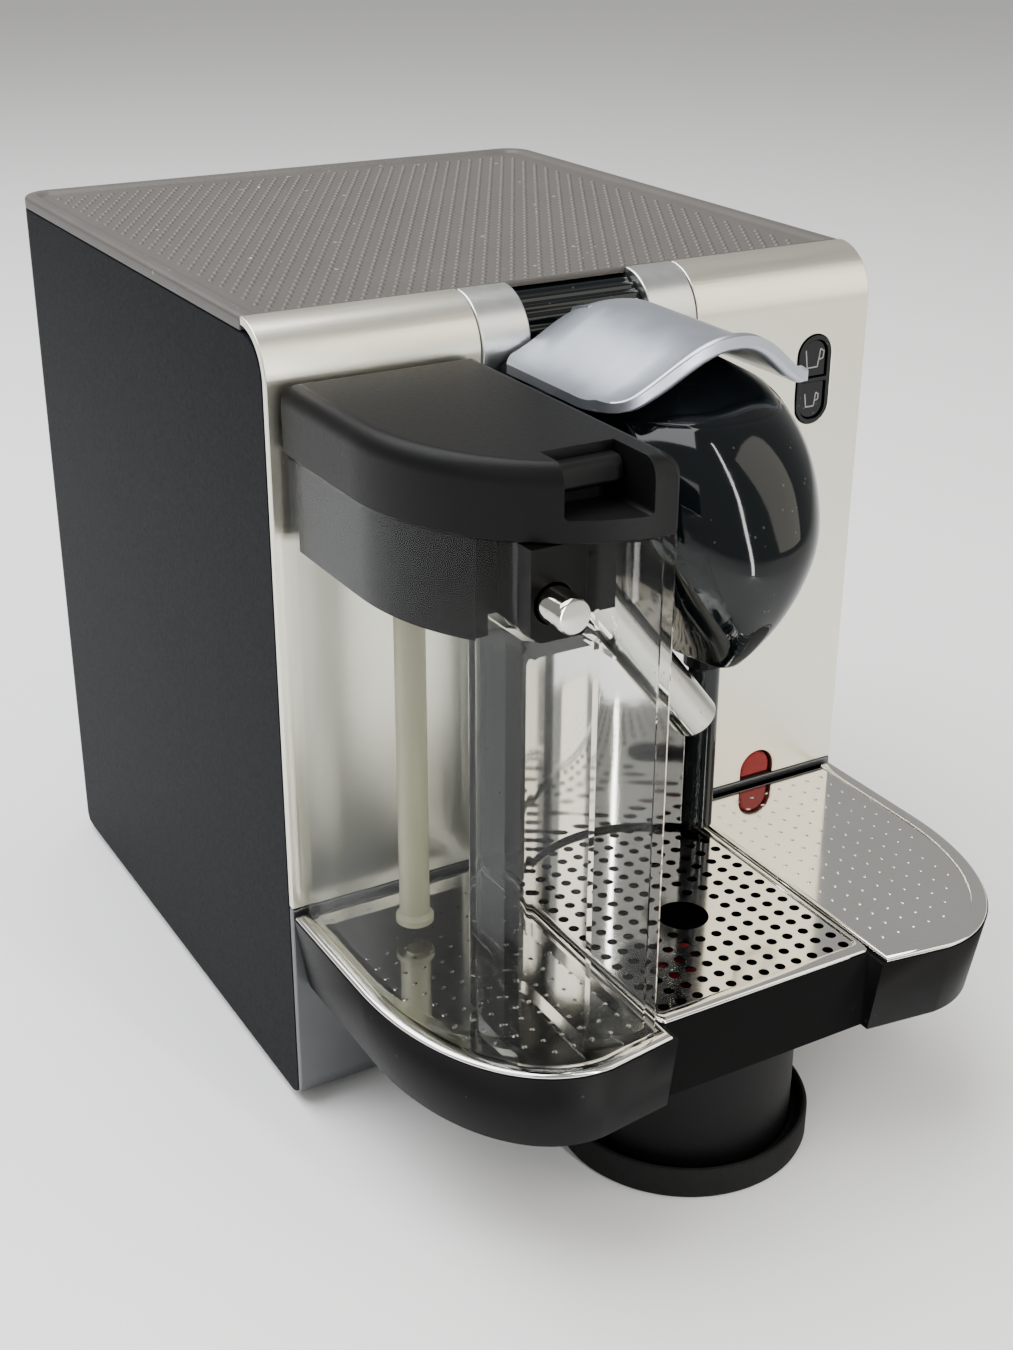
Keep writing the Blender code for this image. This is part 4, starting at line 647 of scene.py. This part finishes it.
chin, crown = head_stations[0][0], head_stations[-1][0]
floors, seam_half = 52, 0.0003
levels = [crown + (chin - crown) * ease(i / floors) for i in range(floors + 1)]
levels = sorted(levels + [seam_depth - seam_half, seam_depth, seam_depth + seam_half], reverse=True)
outer_rings = []
for depth in levels:
    sunk = -seam_sunk if depth == seam_depth else 0.0
    rounding = chin_round * max(0.0, 1 - (chin - depth) / chin_high) ** 2
    outer_rings.append(head_ring(depth, sunk - rounding, 0.0))
inner_back, slot_front, slot_back, slot_floor = 0.010, -0.0430, -0.0150, 0.2070
inner_rings = [head_ring(depth, -head_wall, inner_back) for depth in levels[2:-2:3]]
outlet, outlet_radius = (0.0, -0.0620), 0.0061
head = carved(skin(outer_rings), skin(inner_rings))
head = carved(head, crate((-slot_half, slot_front, slot_floor), (slot_half, slot_back, FAR)),
              bar(disc(outlet, outlet_radius), 0.0, slot_floor))
piece("head_shell", head, gloss, "casing", ["brew_head_shell"])
dressed(black, "coffee_outlet")


# ---------------------------------------- cup bay
# Two glossy black legs with half-round noses stand either side of the cup bay; the
# polished steel front of the pod bin lies between them and moves out with the tray.
mirror = Finish("polished_sheet", Base_Color=(0.74, 0.73, 0.70, 1), Metallic=1.0, Roughness=0.09)
rubs = mirror.cloud(46, 6.0)
mirror.colour(mirror.mix(rubs, (0.70, 0.69, 0.66, 1), (0.78, 0.77, 0.74, 1)))
mirror.rough(0.05 + rubs * rubs * 0.14)
mirror.relief(mirror.cloud(30, 2.0), 0.00003)
leg_outer, leg_width, leg_reach = frame_high.x, 0.0085, FACE - frame_low.y
lintel_inset, lintel_back, lintel_deep = 0.0065, -0.0010, 0.006


def leg(side):
    inner, outer, nose = side * (leg_outer - leg_width), side * leg_outer, leg_width / 2 - 0.0001
    return bar(rounded([(inner, -GAP), (inner, -leg_reach), (outer, -leg_reach), (outer, -GAP)],
                       [0, nose, nose, 0], 14), frame_low.z, frame_high.z)


lintel = crate((-leg_outer + lintel_inset, -leg_reach + lintel_deep, frame_high.z - lintel_deep),
               (leg_outer - lintel_inset, lintel_back, frame_high.z))
piece("bay_legs", carved(leg(-1), leg(1), lintel, operation="UNION"), gloss, "casing",
      ["cup_bay_frame"], edge=0.0006)
plate_low, plate_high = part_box("bay_plate")
plate_half, hollow_deep, plate_thick, plate_steps = plate_high.x, 0.0120, 0.0018, 40
hollow = [(plate_half, -GAP), (-plate_half, -GAP)]
for i in range(plate_steps + 1):
    x = -plate_half + 2 * plate_half * i / plate_steps
    hollow.append((x, -hollow_deep * (x / plate_half) ** 2 - plate_thick))
piece("bay_mirror", bar(hollow, plate_low.z, plate_high.z), mirror, "tray",
      ["bay_plate"], edge=0.0003)
dressed(black, "pod_bin")


# ---------------------------------------- drip tray
# A satin black basin in three bays whose side walls draw in towards the bottom, with a
# fine lip under the steel, standing on a drum pedestal with a rubber-edged foot.
tray_low, tray_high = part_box("drip_tray")
bay_low, bay_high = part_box("right_plate")
tray_floor, tray_top = tray_low.z, bay_high.z
tray_rim = bay_low.z - GAP
tray_front, tray_half = tray_low.y - FACE, tray_high.x
grid_half, grid_front = 0.0375, -0.1020
bay_crest, bay_straight, draw_in, bay_round = 0.0600, 0.0450, 0.0040, 0.95
tray_wall, tray_back, basin_back = 0.0025, -0.0010, -0.0035
tongue_half, tongue_front, tongue_back = 0.0304, -0.0020, 0.0620
tongue_low, tongue_high = tray_top - 0.0040, tray_top - 0.0015


def bay_plan(side, inset, back, inner, steps=44):
    """Plan of a side bay, drawn in by inset along its outer edge."""
    outline = [(inner, back), (inner, tray_front + 0.0030 + inset)]
    wide, deep = tray_half - bay_crest, -tray_front - bay_straight
    for i in range(steps + 1):
        angle = pi / 2 * (1 - i / steps)
        x = bay_crest + wide * cos(angle) ** bay_round
        y = -bay_straight - deep * sin(angle) ** bay_round
        slope = Vector(((x - bay_crest) / wide ** 2, (y + bay_straight) / deep ** 2)).normalized()
        outline.append((x - slope.x * inset, y - slope.y * inset))
    outline.append((tray_half - inset, back))
    outline = [(side * x, y) for x, y in outline]
    return outline if side > 0 else outline[::-1]


def basin(inset, low, high, back):
    shape = crate((-grid_half - 0.002, grid_front + inset, low), (grid_half + 0.002, back, high))
    for side in (-1, 1):
        lower, upper = (bay_plan(side, inset + draw_in * (tray_rim - level) / (tray_rim - tray_floor),
                                 back, grid_half + inset - 0.0010) for level in (low, high))
        shape = carved(shape, bar(lower, low, high, end=upper), operation="UNION")
    return shape


tray = carved(basin(0.0, tray_floor, tray_rim, tray_back),
              basin(tray_wall, tray_floor + tray_wall, tray_top, basin_back))
tongue = crate((-tongue_half, tongue_front, tongue_low), (tongue_half, tongue_back, tongue_high))
tray = carved(tray, tongue, operation="UNION")
piece("tray_basin", tray, black, "tray", ["drip_tray"], edge=0.0009, steps=4)
pedestal_low, pedestal_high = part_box("pedestal")
foot_low, foot_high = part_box("pedestal_foot")
post = (0.0, (pedestal_low.y + pedestal_high.y) / 2 - FACE)
post_radius, foot_radius = pedestal_high.x, foot_high.x
post_section = [(post_radius - 0.001, pedestal_low.z), (post_radius, pedestal_low.z),
                (post_radius, pedestal_high.z)]
piece("pedestal_drum", turned("Z", post, post_section, 128), black, "tray",
      ["pedestal"])
foot_section = [(foot_radius - inset, foot_low.z + rise) for inset, rise in (
    (0.0012, 0), (0.0003, 0.0003), (0, 0.0012))]
foot_section += [(foot_radius - inset, foot_high.z - drop) for inset, drop in (
    (0, 0.0010), (0.0004, 0.0002), (0.0011, 0), (0.0018, 0.0003), (0.0022, 0.0010), (0.0024, 0.0036))]
foot_section += [(post_radius + GAP, foot_high.z - 0.0040), (post_radius + GAP, foot_low.z + 0.0037),
                 (post_radius - 0.002, foot_low.z + 0.0037)]
piece("pedestal_ring", turned("Z", post, foot_section, 128), seal, "tray", ["pedestal_foot"])


# ---------------------------------------- steel plates and grid
# Two mirror-polished plates with a rolled bead and small pressed dimples fill the side
# bays; the middle plate is pressed with rows of holes and one large hole for the float.
def beaded(plan, bead, level):
    """A plate with a half-round bead; plan gives the outline for an inset."""
    thick, outer_rise, inner_rise, arc = 0.0012, 0.0010, 0.0008, 12
    rings = [[(x, y, tray_top - thick) for x, y in plan(0.0)]]
    for step in range(arc + 1):
        angle = pi * step / arc
        rise = (level + inner_rise * sin(angle) if step >= arc / 2
                else tray_top - outer_rise + outer_rise * sin(angle))
        rings.append([(x, y, min(rise, tray_top)) for x, y in plan(bead * ease(step / arc))])
    return skin(rings)


plate_gap, plate_back, bay_bead, bay_sunk = 0.0004, -0.0013, 0.0050, tray_top - 0.0008
dimple_pitch, dimple_border, dimple_row = 0.0060, 0.0085, 0.0080
dimple_sizes = (0.00075, 0.00030, 0.00020)


for side, name in ((-1, "left"), (1, "right")):
    def bay_edge(inset, side=side):
        return bay_plan(side, plate_gap + inset, plate_back, grid_half + 0.0008 + inset * 0.5)
    piece(f"{name}_bay_plate", beaded(bay_edge, bay_bead, bay_sunk), mirror, "tray",
          [f"{name}_plate"])
    dimples = []
    for row in range(16):
        for column in range(9):
            x = grid_half + dimple_border + column * dimple_pitch
            y = -dimple_row - row * dimple_pitch
            wide = tray_half - bay_crest - dimple_border
            deep = -tray_front - bay_straight - dimple_border
            far = max(x - bay_crest, 0) ** 2 / wide ** 2 + min(y + bay_straight, 0) ** 2 / deep ** 2
            if far < 1:
                dimples.append((side * x, y, bay_sunk))
    piece(f"{name}_dimples", on_points(dimples, mirror, dimple_sizes, 10), mirror, "tray")

float_y, float_hole = -0.0584, 0.0080
hole_pitch, hole_radius, hole_deep, hole_row = 0.0059, 0.00165, 0.0050, 0.0070
hole_border, float_border, grid_bead, grid_sunk = 0.0062, 0.0026, 0.0042, tray_top - 0.0006


def grid_edge(inset):
    half, front = grid_half - inset * 0.45, grid_front + plate_gap + inset
    return rounded([(-half, plate_back), (-half, front), (half, front), (half, plate_back)],
                   [0, 0.0020, 0.0020, 0], 6)


holes = []
for row in range(16):
    for column in range(12):
        x, y = (column - 5.5) * hole_pitch, -hole_row - row * hole_pitch
        clear_of_float = hypot(x, y - float_y) > float_hole + float_border
        if clear_of_float and y > grid_front + hole_border:
            holes.append((x, y, tray_top - 0.0030))
grid = carved(beaded(grid_edge, grid_bead, grid_sunk),
              on_points(holes, mirror, (hole_radius, hole_radius, hole_deep), 16),
              bar(disc((0.0, float_y), float_hole), 0.0, FAR))
piece("perforated_grid", grid, mirror, "grid", ["drip_grid"])
red = Finish("translucent_red", Base_Color=(0.30, 0.003, 0.006, 1), Roughness=0.25,
             Specular_IOR_Level=0.25)
red.mottled(120, 3.0, (0.13, 0.001, 0.002, 1), (0.26, 0.002, 0.004, 1))
red.worn(0.12, 0.12, 400, 3.0)
dressed(red, "tray_float")


# ---------------------------------------- milk jug
# A thick-walled clear moulding, D-shaped in plan, with a finger groove down its front.
# Notches in its rim take the froth button, the spout and the machine's steam nozzle.
jug_low, jug_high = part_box("milk_jug")
jug_right, jug_left = jug_high.x, jug_low.x
jug_back, jug_front = jug_high.y - FACE, jug_low.y - FACE
jug_floor, jug_top = jug_low.z, jug_high.z
jug_straight, jug_corner, jug_wall = 0.0450, 0.0050, 0.0022
groove_left, groove_right, groove_back = -0.0790, -0.0640, jug_front + 0.0390
block_floor, block_back = 0.1965, jug_front + 0.0210
groove_corner, spout_notch_floor = 0.004, 0.1780
spout_y, spout_radius, notch_gap = -0.0735, 0.0067, 0.0006
steam_notch_left, steam_notch_right, steam_notch_floor = -0.0800, -0.0640, 0.2000


def jug_plan(inset=0.0, steps=40):
    """The jug's plan: flat back and right side, straight left side, curved front."""
    right, left = jug_right - inset, jug_left + inset
    across = right - left - jug_corner * 0.5
    deep = -jug_front - jug_straight - inset
    outline = [(right, jug_back - inset), (left, jug_back - inset)]
    for i in range(steps + 1):
        angle = pi / 2 * i / steps
        outline.append((left + across * (1 - cos(angle)), -jug_straight - deep * sin(angle)))
    outline.append((right, -jug_straight - deep + jug_corner * 0.6))
    return outline


def finger_groove(grow, low, high):
    left, right, back = groove_left - grow, groove_right + grow, groove_back + grow
    corner = groove_corner + grow
    return bar(rounded([(left, -FAR), (right, -FAR), (right, back), (left, back)],
                       [0, 0, corner, corner], 8), low, high)


jug = carved(bar(jug_plan(), jug_floor, jug_top), finger_groove(0.0, -FAR, block_floor - GAP))
room = carved(bar(jug_plan(jug_wall), jug_floor + jug_wall, FAR),
              finger_groove(jug_wall, -FAR, block_floor - GAP + jug_wall))
notch_left, notch_right = groove_left - 0.0010, groove_right + 0.0010
button_notch = rounded([(notch_left, FAR), (notch_left, block_floor - GAP),
                        (notch_right, block_floor - GAP), (notch_right, FAR)],
                       [0, 0.0050, 0.0020, 0], 8)
spout_notch = crate((jug_right - jug_wall * 2, spout_y - spout_radius - notch_gap, spout_notch_floor),
                    (FAR, spout_y + spout_radius + notch_gap, FAR))
steam_notch = crate((steam_notch_left, jug_back - 0.004, steam_notch_floor),
                    (steam_notch_right, FAR, FAR))
jug = carved(jug, room, bar(button_notch, -FAR, block_back + GAP, "Y"), spout_notch, steam_notch)
clear = Finish("clear_moulding", Base_Color=(0.96, 0.97, 0.97, 1), Roughness=0.01, IOR=1.03,
               Transmission_Weight=1.0, Coat_Weight=0.15, Coat_IOR=1.5, Coat_Roughness=0.02)
clear.rough(clear.cloud(50, 5.0) * 0.010)
piece("jug_shell", jug, clear, "jug", ["milk_jug"], edge=0.0005)
milky = Finish("milky_silicone", Base_Color=(0.70, 0.68, 0.48, 1), Roughness=0.3, IOR=1.35,
               Transmission_Weight=0.7)
milky.worn(0.28, 0.15, 300, 3.0)
milky.mottled(60, 3.0, (0.66, 0.64, 0.44, 1), (0.74, 0.72, 0.54, 1))
tube_low, tube_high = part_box("suction_tube")
tube = ((tube_low.x + tube_high.x) / 2, (tube_low.y + tube_high.y) / 2 - FACE)
tube_bore = 0.0029
tube_section = [(radius, tube_low.z + rise) for radius, rise in (
    (0.0030, 0), (0.0052, 0), (0.0057, 0.0004), (0.0057, 0.0022), (0.0050, 0.0030), (0.0045, 0.0036))]
tube_section += [(0.0045, tube_high.z), (0.0030, tube_high.z)]
piece("milk_tube", carved(turned("Z", tube, tube_section, 40), bar(disc(tube, tube_bore), 0, FAR)),
      milky, "jug", ["suction_tube"])


# ---------------------------------------- jug lid and froth block
# The satin black lid has a soft rolled edge and a finger recess over its latch bar.
# Under it hangs the froth block, whose nose carries a chrome cleaning plunger.
lid_low, lid_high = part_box("jug_lid")
edge_radius = 0.0060
lid_rings = [[(x, y, lid_low.z) for x, y in jug_plan(0.0004)],
             [(x, y, lid_low.z + 0.0004) for x, y in jug_plan()]]
for step in range(11):
    angle = pi / 2 * step / 10
    level = lid_high.z - edge_radius * (1 - sin(angle))
    lid_rings.append([(x, y, level) for x, y in jug_plan(edge_radius * 0.8 * (1 - cos(angle)))])
recess_left, recess_right, recess_back, recess_floor = -0.0710, -0.0500, jug_front + 0.0190, 0.2275
recess_corner = 0.0014
recess = bar(rounded([(recess_left, recess_floor), (recess_right, recess_floor),
                      (recess_right, FAR), (recess_left, FAR)],
                     [recess_corner, recess_corner, 0, 0], 8), -FAR, recess_back, "Y")
piece("lid_shell", carved(skin(lid_rings), recess), black, "jug", ["jug_lid"],
      edge=0.0007)
latch_front, latch_back, latch_gap = recess_back - 0.0060, recess_back - GAP, 0.0006
latch_low, latch_lip, latch_high = 0.2300, 0.2330, 0.2390
latch_line = rounded([(latch_back, latch_low), (latch_front, latch_lip), (latch_front, latch_high),
                      (latch_back, latch_high)], [0, 0.0010, 0.0026, 0], 8)
piece("latch_bar", bar(latch_line, recess_left + latch_gap, recess_right - latch_gap, "X"), black,
      "latch", ["lid_latch"], edge=0.0007)
housing_low, housing_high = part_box("froth_housing")
inset = jug_wall + 0.0006
body_front, ceiling = block_back + 0.0040, block_floor + inset
housing = bar(jug_plan(inset), housing_low.z, housing_high.z)
housing = carved(housing, crate((groove_left - 0.0070, -FAR, -FAR), (FAR, body_front, FAR)),
                 finger_groove(inset, -FAR, ceiling))
nose_front, nose_left, nose_right = jug_front + 0.0085, groove_left - 0.0004, groove_right + 0.0004
nose_line = rounded([(nose_left, housing_high.z), (nose_left, block_floor), (nose_right, block_floor),
                     (nose_right, housing_high.z)], [0, 0.0040, 0.0012, 0], 8)
neck = crate((nose_left, nose_front, ceiling), (nose_right, body_front + 0.001, housing_high.z))
housing = carved(housing, bar(nose_line, nose_front, block_back, "Y"), neck, operation="UNION")
spout_root, spout_tip = Vector((-0.0580, spout_y, 0.2110)), Vector((-0.0105, spout_y, 0.1500))


def spout_bar(radius, before, after):
    """A bar along the spout's slanting axis."""
    line = spout_tip - spout_root
    shape = bar(disc((0, 0), radius, 64), before, line.length + after)
    turn = Vector((0, 0, 1)).rotation_difference(line.normalized()).to_matrix().to_4x4()
    bmesh.ops.transform(shape, verts=shape.verts, matrix=Matrix.Translation(spout_root) @ turn)
    return shape


plunger, plunger_bore = (-0.0730, 0.2065), 0.0055
steam_socket, steam_deep, tube_socket, spout_bore = 0.0056, -0.0160, 0.0048, 0.0054
housing = carved(housing, spout_bar(spout_radius + GAP, -0.0040, 0.1),
                 bar(disc(steam_port, steam_socket), steam_deep, FAR, "Y"),
                 bar(disc(plunger, plunger_bore), -FAR, block_back, "Y"),
                 bar(disc(tube, tube_socket), -FAR, tube_high.z + 0.0005))
sleek = Finish("smooth_moulding", Base_Color=(0.002, 0.002, 0.002, 1), Roughness=0.3,
               Specular_IOR_Level=0.08)
sleek.worn(0.24, 0.12, 120, 3.0)
sleek.mottled(40, 3.0, (0.0016, 0.0016, 0.0017, 1), (0.0034, 0.0033, 0.0030, 1))
piece("froth_block", housing, sleek, "jug", ["froth_housing"], edge=0.0006)
chrome = Finish("bright_chrome", Base_Color=(0.50, 0.49, 0.44, 1), Metallic=1.0, Roughness=0.05)
chrome.worn(0.03, 0.08, 90, 5.0)
chrome.colour(chrome.mix(chrome.dust(500, 0.55), (0.50, 0.49, 0.44, 1), (0.28, 0.27, 0.25, 1)))
pipe = carved(spout_bar(spout_radius, -0.0037, 0.0), spout_bar(spout_bore, 0.0020, 0.05))
piece("milk_pipe", pipe, chrome, "jug", ["milk_spout"], edge=0.0004)
button_low, button_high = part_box("clean_button")
plunger_tip, plunger_root = button_low.y - FACE, button_high.y - FACE
plunger_section = [(radius, plunger_tip + level) for radius, level in (
    (0.0038, 0), (0.0043, 0.0001), (0.0047, 0.0006), (0.0048, 0.0014), (0.0048, 0.0058),
    (0.0049, 0.0062))] + [(0.0049, plunger_root)]
piece("clean_plunger", turned("Y", plunger, plunger_section, 64), chrome, "clean_key",
      ["clean_button"])


# ---------------------------------------- buttons
# A piano black pill carries the two cup keys, each printed with a plain cup outline.
# The steel dial works the milk; the red arch low on the front is the power switch.
pill_front = bezel_low.y - FACE
short_low, short_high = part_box("short_cup_button")
long_low, long_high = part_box("long_cup_button")
windows, key_corner = [], 0.0004
for low, high, lower in ((short_low, short_high, True), (long_low, long_high, False)):
    half = (high.x - low.x) / 2
    left, right, curve = pill_x - half, pill_x + half, half - 0.0002
    corners = [(left, low.z), (right, low.z), (right, high.z), (left, high.z)]
    windows.append((corners, (low.z + high.z) / 2, [curve, curve, key_corner, key_corner] if lower
                    else [key_corner, key_corner, curve, curve]))
bezel = bar(pill(pill_x, bezel_low.z, bezel_high.z, pill_radius), pill_front, bezel_high.y - FACE, "Y")
for corners, middle, radii in windows:
    wider = [(x + copysign(GAP, x - pill_x), z + copysign(GAP, z - middle))
             for x, z in corners]
    bezel = carved(bezel, bar(rounded(wider, radii, 12), -FAR, FAR, "Y"))
piece("pill_bezel", bezel, gloss, "casing", ["button_bezel"], edge=0.0003)
print_grey = Finish("key_print", Base_Color=(0.20, 0.205, 0.20, 1), Roughness=0.45)
print_grey.worn(0.38, 0.14, 900, 2.0)
stroke_half, stroke_high, stroke_deep, cup_shift = 0.00022, 0.00006, 0.0002, 0.0004
cup_line = ((-1, 1), (-0.7, -1), (0.7, -1), (1, 1), (1.5, 0.7), (1.4, -0.1), (0.85, -0.2))
face = short_low.y - FACE
for (corners, middle, radii), key, size in zip(windows, ("short", "long"), (0.0022, 0.0029)):
    piece(f"{key}_cup_key", bar(rounded(corners, radii, 12), face, short_high.y - FACE, "Y"), gloss,
          f"{key}_button", [f"{key}_cup_button"], edge=0.0003)
    cup = [(pill_x - cup_shift + x * size, middle + z * size) for x, z in cup_line]
    strokes = []
    for (x1, z1), (x2, z2) in zip(cup, cup[1:]):
        side = Vector((z1 - z2, x2 - x1)).normalized() * stroke_half
        strokes.append(bar([(x1 + side.x, z1 + side.y), (x1 - side.x, z1 - side.y),
                            (x2 - side.x, z2 - side.y), (x2 + side.x, z2 + side.y)],
                           face - stroke_high, face + stroke_deep, "Y"))
    piece(f"{key}_cup_print", carved(*strokes, operation="UNION"), print_grey, f"{key}_button")
dial_front = dial_low.y - FACE
dial_section = [(0.0006, dial_front + 0.0005)]
dial_section += [(dial_radius - inset, dial_front + level) for inset, level in (
    (0.0024, 0.0005), (0.0019, 0.0003), (0.0014, 0.00005), (0.0009, 0), (0.0004, 0.0001), (0, 0.0005))]
dial_section.append((dial_radius, dial_high.y - FACE))
piece("milk_dial", turned("Y", dial, dial_section, 64), steel, "milk_key",
      ["milk_button"])
piece("power_key_cap", bar(arch(power_x, power_radius, power_low.z, power_high.z), power_low.y - FACE,
                           power_high.y - FACE, "Y"), red, "power_key", ["power_button"],
      edge=0.0012, steps=5)
dressed(black, "steam_nozzle")


# ---------------------------------------- studio
# A pale floor under a soft light from above, with a warm fill from the front right and a
# weak one from the left.  A slim tube lamp in front draws the long streak on the brew head.
ground, floor_half, floor_level = bmesh.new(), 6, -0.0002
for x, y in ((-1, -1), (1, -1), (1, 1), (-1, 1)):
    ground.verts.new((x * floor_half, y * floor_half, floor_level))
ground.faces.new(ground.verts)
floor = as_object(ground)
floor.name = floor.data.name = "pale_floor"
paper = Finish("floor_paper", Base_Color=(0.88, 0.88, 0.87, 1), Roughness=0.9)
paper.worn(0.86, 0.08, 6, 2.0)
floor.data.materials.append(paper.material)

world = bpy.data.worlds.new("studio")
bpy.context.scene.world = world
world.use_nodes = True
backdrop = world.node_tree.nodes["Background"].inputs
backdrop["Color"].default_value, backdrop["Strength"].default_value = (1.0, 0.99, 0.97, 1), 0.45
for name, place, aim, size, watts, tint in (
        ("sky", (-0.5, 0.4, 1.6), (-0.1, 0.0, 0.0), (1.7, 1.7), 66, (0.97, 0.98, 1.0)),
        ("front_fill", (1.1, -1.1, 0.9), (0.1, -0.1, 0.1), (0.8, 1.7), 11, (1.0, 0.93, 0.80)),
        ("left_fill", (-1.4, -0.9, 1.0), (0, 0, 0.0), (0.9, 0.6), 5, (1.0, 1.0, 1.0)),
        ("tube", (0.04, -0.62, 0.76), (0.0, -0.12, 0.76), (0.03, 1.5), 5.0, (1.0, 1.0, 0.98))):
    data = bpy.data.lights.new(name, "AREA")
    data.shape, data.size, data.size_y, data.energy, data.color = "RECTANGLE", *size, watts, tint
    lamp = placed(name, data)
    lamp.location = place
    lamp.rotation_euler = (Vector(aim) - Vector(place)).to_track_quat("-Z", "Y").to_euler()

lens = bpy.data.cameras.new("camera")
lens.lens, lens.sensor_width = 49.780, 36.0
camera = placed("camera", lens)
camera.matrix_world = Matrix(((0.86607, 0.20761, -0.45477, -0.29177),
                              (-0.49991, 0.36714, -0.78441, -0.50813),
                              (0.00411, 0.90670, 0.42175, 0.38117), (0, 0, 0, 1)))
bpy.context.scene.camera = camera
